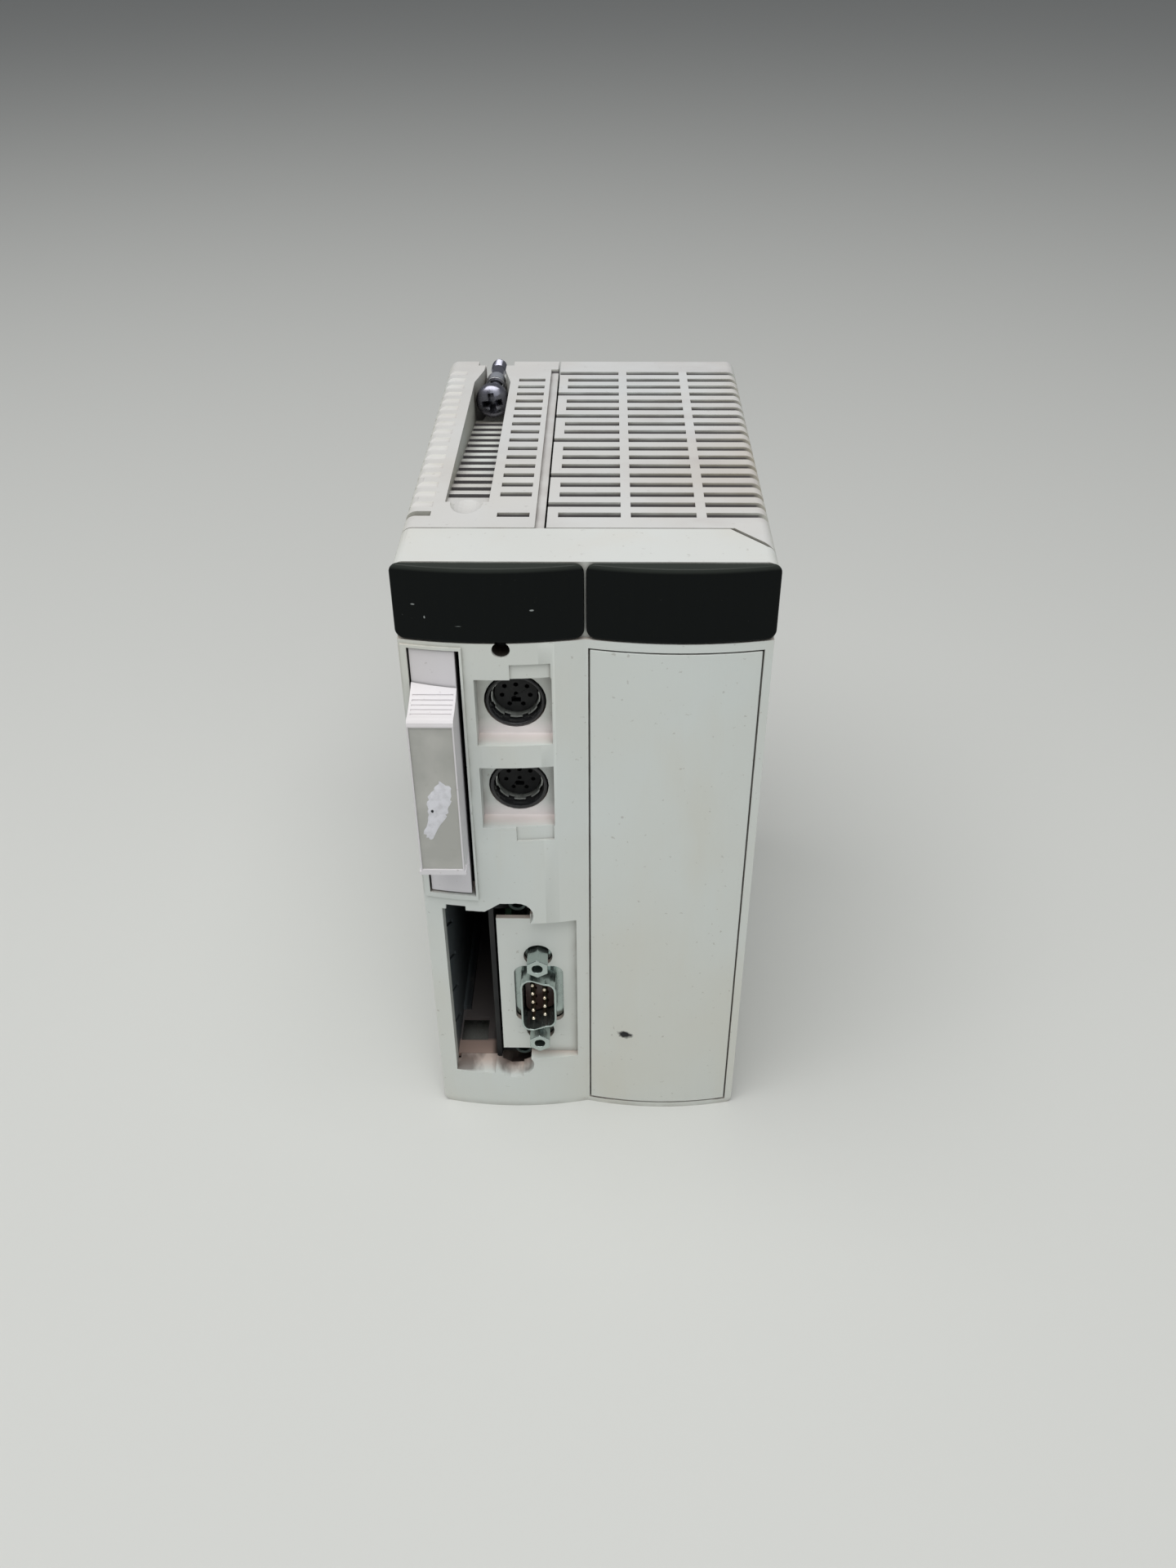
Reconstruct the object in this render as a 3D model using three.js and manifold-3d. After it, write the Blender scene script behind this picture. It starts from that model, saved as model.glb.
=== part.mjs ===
// Double-width rack processor module of a programmable controller, in millimetres.
// Frame of the drawing: x to the right, y from the front corners to the back, z up from the base.
// The finished group is shifted along y, so that its origin is the bottom centre of its box.
import * as THREE from "three";
import { mergeVertices } from "three/addons/utils/BufferGeometryUtils.js";
import Module from "manifold-3d";

const wasm = await Module();
wasm.setup();

// ---------------------------------------------------------------- driving dimensions
// Housing
const BAY_WIDTH = 36.5; // one slot of the rack, and the module fills two
const HEIGHT = 151.5;
const DEPTH = 114; // from the front corners to the face that meets the rack
const BULGE = 2; // how far the middle of each bay stands in front of its corners
const EDGE_TOP = 2.4; // rounding of the long upper edges
const EDGE_BASE = 1.8; // rounding of the long lower edges
const WALL = 2;
const FIT = 0.3; // clearance between pieces that meet
const PAST = 4; // how far a cutting block runs past what it cuts

// Front moulding
const FRONT_INNER = 3; // y of the inside of the front wall
const SIDE_WRAP = 7.6; // how far it reaches back on the sides
const TOP_WRAP = 15.2; // how far it reaches back on top and below
const WRAP_CORNER = 8.4; // where its top strip is cut off on the right, from the side
const CORNER_GAP = 0.9; // the wider joint along that slanting cut
const SEAM_X = -8.1; // the joint between the left and right case halves
const CASE_GAP = 0.5;

// Windows over the lamps
const LENS_HEIGHT = 15.8;
const LENS_BACK = 0.6;
const LENS_CORNER = 1.8;
const LENS_PROUD = 0.3; // how far a window stands past the sides
const LENS_GAP = 0.4; // between the two windows
const DISPLAY = { left: -33, right: -8.4, bottom: HEIGHT - 14.8, top: HEIGHT - 5.2 };
const LAMPS = 5;
const LAMP_DIAMETER = 1.8;

// Ventilation rows, shared by both halves
const ROW_PITCH = 4.92;
const ROW_FIRST = 21.4;
const REAR_RIM = 8.8; // solid margin before the rear face
const SLOT_RIGHT = 2.2;
const SLOT_LEFT = 2;
const COLUMNS_RIGHT = [
  [-5.7, 6.8],
  [8.8, 21.9],
  [23.9, BAY_WIDTH + PAST],
];
const OPEN_ROWS = [1, 4, 8, 11, 14, 17]; // rows of the first column that run out to the seam
const COLUMN_LEFT = [-17.9, -11.4];
const RIB_STRIP = -31.2; // inner end of the grooves along the left edge
const RIB_DEPTH = 0.65;
const RIB_VALLEY = 2.8; // width of each valley between two ribs
const RIB_FALL = 7; // how far the ribs run down the side

// Screw trough in the left half
const SCREW_X = -24.45;
const SCREW_Z = HEIGHT - 4;
const HEAD_DIAMETER = 8.3;
const TROUGH = {
  left: SCREW_X - HEAD_DIAMETER / 2 - FIT,
  right: SCREW_X + HEAD_DIAMETER / 2 + FIT,
  front: 27.5,
  narrow: DEPTH - 15.4,
  pit: DEPTH - 17,
  back: DEPTH - 6.4,
};
const TROUGH_WALL = 1.2;
const SLAT_PITCH = 4.95;
const SLAT_GAP = 2.5;
const RAMP_TOP = HEIGHT - 0.6;
const RAMP_END = HEIGHT - 9.25;
const PIT_FLOOR = HEIGHT - 11.7;
const LEAD_IN = { reach: 6.2, half: 3.7, depth: 1.4 }; // the scooped entry in front of the trough

// Rack screw
const HEAD_FRONT = DEPTH - 19.6;
const HEAD_LENGTH = 3.4;
const SHANK_DIAMETER = 3.2;
const THREAD_DIAMETER = 4;
const THREAD_START = DEPTH + 4.2;
const RING_FRONT = DEPTH - 7.8; // y of the snap ring on the shank
const RING_THICK = 0.8;
const SCREW_TIP = 9; // how far the thread stands out behind the rear face
const COLLAR = { front: DEPTH - 6.2, back: DEPTH - 2.8, diameter: 4.8 };
const COLLAR_KEY = { front: DEPTH - 5.1, back: DEPTH - 3.7, half: 1.2, drop: 3.5 }; // its foot, in a pocket

// Memory card, with its cover plate and handle
const CARD_SLOT = { left: -34.85, right: -24.5, bottom: HEIGHT - 80.4, top: HEIGHT - 17.6 };
const FRAME_PROUD = 0.5; // how far the raised frame round the slot stands out
const CARD = { thick: 3.3, width: 54, length: 85.6, front: 3.6 };
const HANDLE = { left: -34.5, right: -25.4, bottom: HEIGHT - 66.7, top: HEIGHT - 25.1, reach: 11 };
const HANDLE_WALL = 1.4;
const SHELF_DROP = 3; // how far the hollowed thumb shelf falls from the cover to its lip
const SHELF_RIB = { pitch: 1.25, width: 0.45, depth: 0.16 };
const HANDLE_LIP = 1.1;
const HANDLE_FOOT = { high: 0.9, deep: 2.4, proud: 0.35 };
const LABEL = { bottom: HANDLE.bottom + 1.4, top: HANDLE.top - 4.4, margin: 0.3, recess: 0.9 };

// Round sockets in their square recesses
const PORT_X = -14.35;
const PORT_UPPER_Z = HEIGHT - 32.1;
const PORT_LOWER_Z = HEIGHT - 53.4;
const RECESS_WIDTH = 15.3;
const RECESS_HEIGHT = 15.7;
const RECESS_FLOOR = 2.9;
const RECESS_WALL = 1.5;
const PORT_RING = 12.1;
const PORT_BORE = 10.7;
const PORT_DEPTH = 9.5;
const SHIELD_OUTER = PORT_BORE - 2 * FIT;
const SHIELD_SHEET = 0.3;
const SHIELD_INNER = SHIELD_OUTER - 2 * SHIELD_SHEET;
const INSERT_DIAMETER = SHIELD_INNER - 2 * FIT;
const INSERT_FRONT = 2.8;
const SHIELD_FRONT = 1.5;

// Reset push button behind its hole
const RESET_X = -16.35;
const RESET_Z = HEIGHT - 17.5;
const RESET_HOLE = 3.6;
const RESET_ROD = 2.4;

// Sub-D plug on its plate, in the lower opening
const PLATE_FRONT = 1;
const PLATE_THICK = 1.2;
const PLATE_LEFT = -20.8;
const PLUG_X = -11.5;
const PLUG_Z = 37.3;
const PLUG_FRONT = -3.1;
const PLUG_WIDTH = 8.36;
const PLUG_LENGTH = 16.9;
const PLUG_SHEET = 0.45;
const PLUG_SLANT = 8; // degrees that the short sides of the plug lean
const PLUG_CORNER = 2.6;
const PIN_DIAMETER = 1;
const PIN_PITCH = 2.77;
const PIN_ROWS = 2.84;
const JACK_PITCH = PLUG_LENGTH + 8.1;
const JACK_HEX = 4.8;

// Communication card bay
const BAY_SLOT = { left: -32.8, right: -22.8, bottom: 12, top: 66.6 };
const BAY_SHEET = 1.2;
const BAY_DEPTH = 88;
const EAR_FRONT = 5; // y of the two ears that hold the card nuts
const CARD_NUT_X = -15.9;
const CARD_NUT_Z = [16.5, 64.6];
const CARD_NUT_DIAMETER = 4.4;

// Boards and what is on them
const BOARD = 1.6;
const MAIN_BOARD_X = -6.6;
const CARD_BOARD_X = -20.6;
const BUS = { left: -18.5, right: -8.8, length: 50, front: DEPTH - 16, reach: 3 };
const BUS_Z = [45, 113];

// Blank panel of the right bay
const PANEL = { left: 0.5, right: BAY_WIDTH - 1.7, bottom: 1.5, top: HEIGHT - 18 };
const PANEL_SEAT = 1.5;
const PANEL_GROOVE = 0.35;

// ---------------------------------------------------------------- worked-out sizes
const SIDE = BAY_WIDTH;
const LENS_BOTTOM = HEIGHT - LENS_HEIGHT;
const REAR = DEPTH;
const ROWS = Math.floor((DEPTH - REAR_RIM - ROW_FIRST) / ROW_PITCH + 1e-6) + 1;
const rowY = (row) => ROW_FIRST + row * ROW_PITCH;

// y of the front surface at a place across the module: each bay is a shallow arch
const frontAt = (x) => -BULGE * (1 - ((Math.abs(x) - BAY_WIDTH / 2) / (BAY_WIDTH / 2)) ** 2);

// ---------------------------------------------------------------- solids
function solidOf(geometry) {
  geometry.deleteAttribute("normal");
  geometry.deleteAttribute("uv");
  const merged = mergeVertices(geometry, 1e-4);
  const vertProperties = merged.attributes.position.array;
  const triVerts = new Uint32Array(merged.index.array);
  return new wasm.Manifold(new wasm.Mesh({ numProp: 3, vertProperties, triVerts }));
}

// A block from its two limits along each axis.
function block([x0, x1], [y0, y1], [z0, z1]) {
  const geometry = new THREE.BoxGeometry(x1 - x0, y1 - y0, z1 - z0);
  geometry.translate((x0 + x1) / 2, (y0 + y1) / 2, (z0 + z1) / 2);
  return solidOf(geometry);
}

// An outline extruded along an axis. The outline's own pair of axes is (y, z), (x, z) or (x, y).
const EAST = new THREE.Vector3(1, 0, 0);
const NORTH = new THREE.Vector3(0, 1, 0);
const UP = new THREE.Vector3(0, 0, 1);
const TURN = {
  x: new THREE.Matrix4().makeBasis(NORTH, UP, EAST),
  y: new THREE.Matrix4().makeBasis(EAST, UP, NORTH.clone().negate()),
  z: new THREE.Matrix4(),
};
function prism(axis, outline, from, to, curveSegments = 5) {
  const drawn = outline instanceof THREE.Shape;
  const shape = drawn ? outline : new THREE.Shape(outline.map(([a, b]) => new THREE.Vector2(a, b)));
  const options = { depth: to - from, bevelEnabled: false, curveSegments };
  const geometry = new THREE.ExtrudeGeometry(shape, options);
  geometry.applyMatrix4(TURN[axis]);
  const start = axis === "y" ? to : from;
  geometry.translate(axis === "x" ? start : 0, axis === "y" ? start : 0, axis === "z" ? start : 0);
  return solidOf(geometry);
}

// A round rod along y, x or z.
function rod(axis, [a, b], diameter, from, to, sides = 16) {
  const geometry = new THREE.CylinderGeometry(diameter / 2, diameter / 2, to - from, sides);
  const middle = (from + to) / 2;
  if (axis === "y") geometry.translate(a, middle, b);
  if (axis === "x") geometry.rotateZ(-Math.PI / 2).translate(middle, a, b);
  if (axis === "z") geometry.rotateX(Math.PI / 2).translate(a, b, middle);
  return solidOf(geometry);
}

// A turned piece round the y axis, from its [radius, y] profile.
function turned(profile, sides) {
  const points = profile.map(([radius, y]) => new THREE.Vector2(radius, y));
  const solid = solidOf(new THREE.LatheGeometry(points, sides));
  return solid;
}

// A rectangle with one rounding for its upper corners and one for its lower corners.
function roundedOutline(x0, x1, z0, z1, upper, lower) {
  const shape = new THREE.Shape();
  const quarter = Math.PI / 2;
  shape.moveTo(x0, z0 + lower);
  shape.absarc(x0 + lower, z0 + lower, lower, 2 * quarter, 3 * quarter, false);
  shape.absarc(x1 - lower, z0 + lower, lower, 3 * quarter, 4 * quarter, false);
  shape.absarc(x1 - upper, z1 - upper, upper, 0, quarter, false);
  shape.absarc(x0 + upper, z1 - upper, upper, quarter, 2 * quarter, false);
  return shape;
}

const join = (...solids) => solids.reduce((whole, solid) => whole.add(solid));
const cut = (whole, ...tools) => tools.reduce((left, tool) => left.subtract(tool), whole);

// ---------------------------------------------------------------- scene graph
const part = new THREE.Group();
part.position.y = -(REAR + SCREW_TIP - HANDLE.reach) / 2;

const PLASTIC = { color: 0xbec3be, roughness: 0.55, metalness: 0 };
const WINDOW = { color: 0x0b100f, roughness: 0.12, metalness: 0 };
const BLACK = { color: 0x15181a, roughness: 0.5, metalness: 0 };
const DARK_GREY = { color: 0x33393c, roughness: 0.5, metalness: 0 };
const ZINC = { color: 0x9a9da1, roughness: 0.35, metalness: 0.9 };
const LAMINATE = { color: 0x1f5a3a, roughness: 0.5, metalness: 0 };
const GOLD = { color: 0xc9a24a, roughness: 0.3, metalness: 1 };
const ALUMINIUM = { color: 0x8d9092, roughness: 0.4, metalness: 0.9 };
const PAPER = { color: 0xb9bab6, roughness: 0.7, metalness: 0 };
const LAMP = { color: 0x4c5a2a, roughness: 0.3, metalness: 0 };

function add(name, solid, look, home = part) {
  const { vertProperties, triVerts, numProp } = solid.getMesh();
  const geometry = new THREE.BufferGeometry();
  const position = new Float32Array((vertProperties.length / numProp) * 3);
  for (let i = 0; i < position.length / 3; i += 1) {
    position.set(vertProperties.subarray(i * numProp, i * numProp + 3), i * 3);
  }
  geometry.setAttribute("position", new THREE.BufferAttribute(position, 3));
  geometry.setIndex(new THREE.BufferAttribute(triVerts, 1));
  geometry.computeVertexNormals();
  const mesh = new THREE.Mesh(geometry, new THREE.MeshStandardMaterial(look));
  mesh.name = name;
  home.add(mesh);
  return mesh;
}

function groupAt(x, y, z) {
  const group = new THREE.Group();
  group.position.set(x, y, z);
  part.add(group);
  return group;
}

// ---------------------------------------------------------------- shared outlines
const PLAN_STEPS = 12; // flats across each bay's arch
function planOutline(proud, back) {
  const points = [];
  for (let i = 0; i <= 2 * PLAN_STEPS; i += 1) {
    const x = -SIDE + (i * BAY_WIDTH) / PLAN_STEPS;
    points.push([x, frontAt(x) - proud]);
  }
  points.push([SIDE, back], [-SIDE, back]);
  return points;
}
const frontFill = (proud, z0, z1) => prism("z", planOutline(proud, FRONT_INNER), z0, z1);

const bodySection = (y0, y1) =>
  prism("y", roundedOutline(-SIDE, SIDE, 0, HEIGHT, EDGE_TOP, EDGE_BASE), y0, y1);

// The strip of the front moulding that laps over the top, and the same below, grown by a clearance.
function lapStrip(grow, z0, z1, slack = 0) {
  const corner = SIDE - 1.9 + slack;
  const outline = [
    [-SIDE - PAST * grow, SIDE_WRAP - 1],
    [-SIDE - PAST * grow, TOP_WRAP + grow],
    [SIDE - WRAP_CORNER + slack, TOP_WRAP + grow],
    [corner, SIDE_WRAP + grow],
    [corner, SIDE_WRAP - 1],
  ];
  return prism("z", outline, z0, z1);
}

// ---------------------------------------------------------------- front moulding
const slotMiddle = (CARD_SLOT.left + CARD_SLOT.right) / 2;
const ports = [
  ["upper_port", PORT_UPPER_Z],
  ["lower_port", PORT_LOWER_Z],
];
const recessBox = (z, grow, y0, y1) =>
  block(
    [PORT_X - RECESS_WIDTH / 2 - grow, PORT_X + RECESS_WIDTH / 2 + grow],
    [y0, y1],
    [z - RECESS_HEIGHT / 2 - grow, z + RECESS_HEIGHT / 2 + grow],
  );

// The lower opening: a tall card slot on the left, the plug's field on the right,
// and a round lobe above and below for each card nut.
function lowerOpening() {
  const [nutLow, nutHigh] = CARD_NUT_Z;
  const field = block([-14, -2.4], [-PAST, FRONT_INNER + PAST], [17.4, 62.5]);
  const slot = block([-32.6, -22.9], [-PAST, FRONT_INNER + PAST], [12.2, 66.2]);
  const step = block([-31.7, -27.2], [-PAST, FRONT_INNER + PAST], [60, 67.5]);
  const middle = block([-23.4, -13.6], [-PAST, FRONT_INNER + PAST], [17.4, 62.5]);
  const lobes = [
    rod("y", [CARD_NUT_X, nutHigh + 0.3], 7.8, -PAST, FRONT_INNER + PAST, 20),
    rod("y", [CARD_NUT_X - 0.9, nutLow - 1.2], 7.2, -PAST, FRONT_INNER + PAST, 20),
  ];
  const links = [
    [[-23.4, 60], [-22.9, 66.2], [-19.4, 68.7], [-15.9, 68.7], [-15.9, 60]],
    [[-23.4, 20], [-27.2, 13], [-23, 13.3], [-19.2, 10.8], [-16, 11], [-16, 20]],
  ];
  const ramps = links.map((outline) => prism("y", outline, -PAST, FRONT_INNER + PAST));
  return join(slot, step, middle, field, ...lobes, ...ramps);
}

function plugPlate() {
  const outline = [
    [PLATE_LEFT, 18.3],
    [PLATE_LEFT, 61.6],
    [-13, 61.6],
    [-13, 63],
    [-2, 63],
    [-2, 17],
    [-12.6, 17],
    [-12.6, 18.3],
  ];
  const cutOut = roundedOutline(
    PLUG_X - 5.8, PLUG_X + 5.8, PLUG_Z - PLUG_LENGTH / 2 - 0.8, PLUG_Z + PLUG_LENGTH / 2 + 0.8, 2.4, 2.4,
  );
  const plate = prism("y", outline, PLATE_FRONT, PLATE_FRONT + PLATE_THICK);
  const window = prism("y", cutOut, PLATE_FRONT - 1, PLATE_FRONT + PLATE_THICK + 1);
  const holes = [-1, 1].map((side) =>
    rod("y", [PLUG_X, PLUG_Z + (side * JACK_PITCH) / 2], 6.8, 0, PLATE_FRONT + PLATE_THICK + 1, 20),
  );
  return cut(plate, window, ...holes);
}

function frontMoulding() {
  const shell = bodySection(-PAST, SIDE_WRAP).intersect(
    prism("z", planOutline(0, SIDE_WRAP), -1, HEIGHT + 1),
  );
  const laps = join(
    lapStrip(0, HEIGHT - WALL, HEIGHT),
    lapStrip(0, 0, WALL),
  ).intersect(bodySection(0, TOP_WRAP));
  const inside = block([-SIDE + WALL, SIDE - WALL], [FRONT_INNER, TOP_WRAP + 1], [WALL, HEIGHT - WALL]);
  const frame = prism("z", planOutline(FRAME_PROUD, 0.5), CARD_SLOT.bottom - 1.3, CARD_SLOT.top + 0.6).intersect(
    block([-SIDE + 0.4, CARD_SLOT.right + 0.5], [-PAST, 0.5], [0, HEIGHT]),
  );
  const floors = ports.map(([, z]) => recessBox(z, RECESS_WALL, FRONT_INNER - 1, RECESS_FLOOR + RECESS_WALL));
  const lip = block([-32, -21.5], [FRONT_INNER - 1, FRONT_INNER + 1.5], [9.8, 12.2]);

  const lensSeat = block(
    [-SIDE - 1, SIDE + 1],
    [-PAST - 1, LENS_BACK + FIT],
    [LENS_BOTTOM - FIT, HEIGHT + 1],
  );
  const displayWindow = block(
    [DISPLAY.left, DISPLAY.right],
    [0, FRONT_INNER + 1],
    [DISPLAY.bottom, DISPLAY.top],
  );
  const cardSlot = block(
    [CARD_SLOT.left, CARD_SLOT.right],
    [-PAST, SIDE_WRAP + 1],
    [CARD_SLOT.bottom, CARD_SLOT.top],
  );
  const recesses = ports.map(([, z]) => recessBox(z, 0, -PAST, RECESS_FLOOR));
  const sockets = ports.map(([, z]) => rod("y", [PORT_X, z], PORT_RING + 2 * FIT, 0, SIDE_WRAP, 28));
  const pads = [
    [-14.9, -6.9, PORT_UPPER_Z + RECESS_HEIGHT / 2, PORT_UPPER_Z + RECESS_HEIGHT / 2 + 3.4],
    [-14.9, -6.9, PORT_LOWER_Z - RECESS_HEIGHT / 2 - 3.6, PORT_LOWER_Z - RECESS_HEIGHT / 2],
  ].map(([x0, x1, z0, z1]) =>
    cut(block([x0, x1], [-PAST, 0], [z0, z1]), prism("z", planOutline(-0.5, 1), z0 - 1, z1 + 1)),
  );
  const resetHole = rod("y", [RESET_X, RESET_Z], RESET_HOLE, -PAST, FRONT_INNER + 1, 20);
  const panelSeat = block([PANEL.left, PANEL.right], [-PAST, PANEL_SEAT], [PANEL.bottom, PANEL.top]);
  const plugRoom = block([-21.5, -2.4], [PLATE_FRONT + PLATE_THICK, FRONT_INNER + 1], [17.6, 62.4]);

  const body = cut(join(shell, laps), inside);
  const grown = join(body, frame, ...floors, lip);
  const opened = cut(
    grown,
    lensSeat,
    displayWindow,
    cardSlot,
    ...recesses,
    ...sockets,
    ...pads,
    resetHole,
    panelSeat,
    lowerOpening(),
    plugRoom,
  );
  return join(opened, plugPlate());
}
add("front_bezel", frontMoulding(), PLASTIC);

// ---------------------------------------------------------------- case halves
// A case half is a tray: outer side, top, base and rear wall, open to the other half.
function tray(x0, x1) {
  const room = CASE_GAP / 2;
  const inner = x0 < x1 - 40 ? [x0 - 1, SIDE - WALL] : [-SIDE + WALL, x1 + 1];
  const outer = bodySection(SIDE_WRAP + FIT, REAR).intersect(block([x0, x1], [0, REAR + 1], [-1, HEIGHT + 1]));
  const hollow = block(inner, [0, REAR - WALL], [WALL, HEIGHT - WALL]);
  const laps = [
    lapStrip(FIT, HEIGHT - WALL - room, HEIGHT + 1, CORNER_GAP),
    lapStrip(FIT, -1, WALL + room, CORNER_GAP),
  ];
  return cut(outer, hollow, ...laps);
}

// Slots through the top wall and the base wall for one column of rows. On top they may run
// over the rounded edge and down the side; below they stop short of it.
function ventColumn([x0, x1], width, rows, sideReach = 0) {
  const slots = [];
  for (const row of rows) {
    const along = [rowY(row) - width / 2, rowY(row) + width / 2];
    slots.push(block([x0, x1], along, [HEIGHT - WALL - 0.5 - sideReach, HEIGHT + 1]));
    slots.push(block([x0, Math.min(x1, SIDE - 4)], along, [-1, WALL + 0.5]));
  }
  return slots;
}
const allRows = Array.from({ length: ROWS }, (_, row) => row);

function caseBoss(x, z) {
  return rod("y", [x, z], 9, REAR - 10, REAR - 1, 16);
}
function caseBore(x, z) {
  return join(
    rod("y", [x, z], 3.6, REAR - 11, REAR, 12),
    rod("y", [x, z], 6.4, REAR - 2.5, REAR + 1, 16),
  );
}
const CASE_SCREWS = [
  [-SIDE + 7.5, 26],
  [-SIDE + 7.5, HEIGHT - 27],
  [SIDE - 7.5, 26],
  [SIDE - 7.5, HEIGHT - 27],
];

// A lug on the rear face that drops into the rack's lower rail.
function rackLug(x) {
  const outline = [
    [REAR - 1, 5.4],
    [REAR + 2.6, 5.4],
    [REAR + 2.6, 3.4],
    [REAR + 5, 3.4],
    [REAR + 5, 9.6],
    [REAR + 3.8, 11],
    [REAR - 1, 11],
  ];
  return prism("x", outline, x - 3.5, x + 3.5);
}

// The trough that leads a screwdriver to the rack screw, with its slatted ramp and its rear block.
function troughBody() {
  const outline = [
    [TROUGH.front - TROUGH_WALL, HEIGHT - WALL + 0.5],
    [TROUGH.front - TROUGH_WALL, RAMP_TOP - 2.8],
    [TROUGH.pit - 1, RAMP_END - 2],
    [TROUGH.pit, PIT_FLOOR - TROUGH_WALL],
    [REAR - WALL + 0.5, PIT_FLOOR - TROUGH_WALL],
    [REAR - WALL + 0.5, HEIGHT - WALL + 0.5],
  ];
  return prism("x", outline, TROUGH.left - TROUGH_WALL, TROUGH.right + TROUGH_WALL);
}
function troughHollow() {
  const taper = 1.8;
  const plan = [
    [TROUGH.left, TROUGH.front],
    [TROUGH.left, TROUGH.narrow],
    [TROUGH.left + taper, TROUGH.back],
    [TROUGH.right - taper, TROUGH.back],
    [TROUGH.right, TROUGH.narrow],
    [TROUGH.right, TROUGH.front],
  ];
  const side = [
    [TROUGH.front - 1, RAMP_TOP + 0.12],
    [TROUGH.pit, RAMP_END],
    [TROUGH.pit, PIT_FLOOR],
    [TROUGH.back + 1, PIT_FLOOR],
    [TROUGH.back + 1, HEIGHT + 2],
    [TROUGH.front - 1, HEIGHT + 2],
  ];
  return prism("z", plan, PIT_FLOOR - 1, HEIGHT + 1).intersect(prism("x", side, TROUGH.left, TROUGH.right));
}
function slatGaps() {
  const gaps = [];
  const first = TROUGH.front + 4.7;
  for (let y = first; y < TROUGH.pit - SLAT_PITCH / 2; y += SLAT_PITCH) {
    gaps.push(block([TROUGH.left, TROUGH.right], [y, y + SLAT_GAP], [RAMP_END - 6, HEIGHT + 1]));
  }
  return gaps;
}
function screwSeat() {
  const half = COLLAR.diameter / 2 + FIT;
  const slot = join(
    rod("y", [SCREW_X, SCREW_Z], 2 * half, TROUGH.back - 1, REAR + 1, 16),
    block([SCREW_X - half, SCREW_X + half], [TROUGH.back - 1, REAR + 1], [SCREW_Z, HEIGHT + 1]),
  );
  const pocket = block(
    [SCREW_X - COLLAR_KEY.half - FIT, SCREW_X + COLLAR_KEY.half + FIT],
    [COLLAR_KEY.front - FIT, COLLAR_KEY.back + FIT],
    [SCREW_Z - COLLAR_KEY.drop - FIT, SCREW_Z],
  );
  const notch = block([TROUGH.left, TROUGH.right + 0.2], [REAR - 3, REAR + 1], [HEIGHT - 1, HEIGHT + 1]);
  return [slot, pocket, notch];
}
function leadIn() {
  const rise = 0.9; // the scoop is a flattened ball whose middle is this far above the top
  const geometry = new THREE.SphereGeometry(1, 24, 16);
  geometry.scale(LEAD_IN.half, LEAD_IN.reach, LEAD_IN.depth + rise);
  geometry.translate(SCREW_X, TROUGH.front, HEIGHT + rise);
  return solidOf(geometry);
}

function leftCase() {
  const edge = SEAM_X - CASE_GAP / 2;
  const ledge = block([edge - 1.8, edge + 1], [TOP_WRAP, REAR - 6], [HEIGHT - 1, HEIGHT + 1]);
  const valley = (RIB_VALLEY ** 2 / 4 + RIB_DEPTH ** 2) / (2 * RIB_DEPTH); // radius of a valley
  const ribs = allRows.slice(1).flatMap((row) => [
    rod("x", [rowY(row), HEIGHT - RIB_DEPTH + valley], 2 * valley, -SIDE - 1, RIB_STRIP, 20),
    rod("z", [-SIDE + RIB_DEPTH - valley, rowY(row)], 2 * valley, HEIGHT - RIB_FALL, HEIGHT + 1, 20),
  ]);
  const firstSlot = block([-SIDE - 1, RIB_STRIP], [rowY(0) - 0.6, rowY(0) + 1.6], [HEIGHT - 5, HEIGHT + 1]);
  const rows = allRows.filter((row) => row !== 1 && row < ROWS - 1);
  const busRoom = BUS_Z.map((z) =>
    block(
      [BUS.left - FIT, edge + 1],
      [REAR - WALL - 1, REAR + 1],
      [z - BUS.length / 2 - FIT, z + BUS.length / 2 + FIT],
    ),
  );
  const screws = CASE_SCREWS.filter(([x]) => x < 0);
  const whole = join(
    tray(-SIDE, edge),
    troughBody(),
    ...screws.map(([x, z]) => caseBoss(x, z)),
    rackLug(-SIDE / 2 - 6),
  );
  return cut(
    whole,
    ledge,
    ...ribs,
    firstSlot,
    ...ventColumn(COLUMN_LEFT, SLOT_LEFT, rows),
    ...busRoom,
    troughHollow(),
    ...slatGaps(),
    ...screwSeat(),
    leadIn(),
    ...screws.map(([x, z]) => caseBore(x, z)),
  );
}
add("left_case", leftCase(), PLASTIC);

function rightCase() {
  const edge = SEAM_X + CASE_GAP / 2;
  const [first, second, third] = COLUMNS_RIGHT;
  const half = SLOT_RIGHT / 2;
  const openRows = OPEN_ROWS.filter((row) => row < ROWS).map((row) =>
    block([edge - 1, first[0] + 0.5], [rowY(row) - half, rowY(row) + half], [HEIGHT - WALL - 1, HEIGHT + 1]),
  );
  const screws = CASE_SCREWS.filter(([x]) => x > 0);
  const whole = join(
    tray(edge, SIDE),
    ...screws.map(([x, z]) => caseBoss(x, z)),
    rackLug(SIDE / 2 + 6),
  );
  return cut(
    whole,
    ...ventColumn(first, SLOT_RIGHT, allRows),
    ...ventColumn(second, SLOT_RIGHT, allRows),
    ...ventColumn(third, SLOT_RIGHT, allRows, 3.5),
    ...openRows,
    ...screws.map(([x, z]) => caseBore(x, z)),
  );
}
add("right_case", rightCase(), PLASTIC);

CASE_SCREWS.forEach(([x, z], index) => {
  const home = groupAt(x, REAR, z);
  const screw = turned(
    [[0, -9], [1.5, -9], [1.5, -2.2], [2.8, -2.2], [2.8, -0.9], [2.2, -0.4], [0, -0.4]],
    12,
  );
  const cross = join(
    block([-1.6, 1.6], [-1.3, 1], [-0.3, 0.3]),
    block([-0.3, 0.3], [-1.3, 1], [-1.6, 1.6]),
  );
  add(`case_screw_${index + 1}`, cut(screw, cross), ZINC, home);
});

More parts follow.
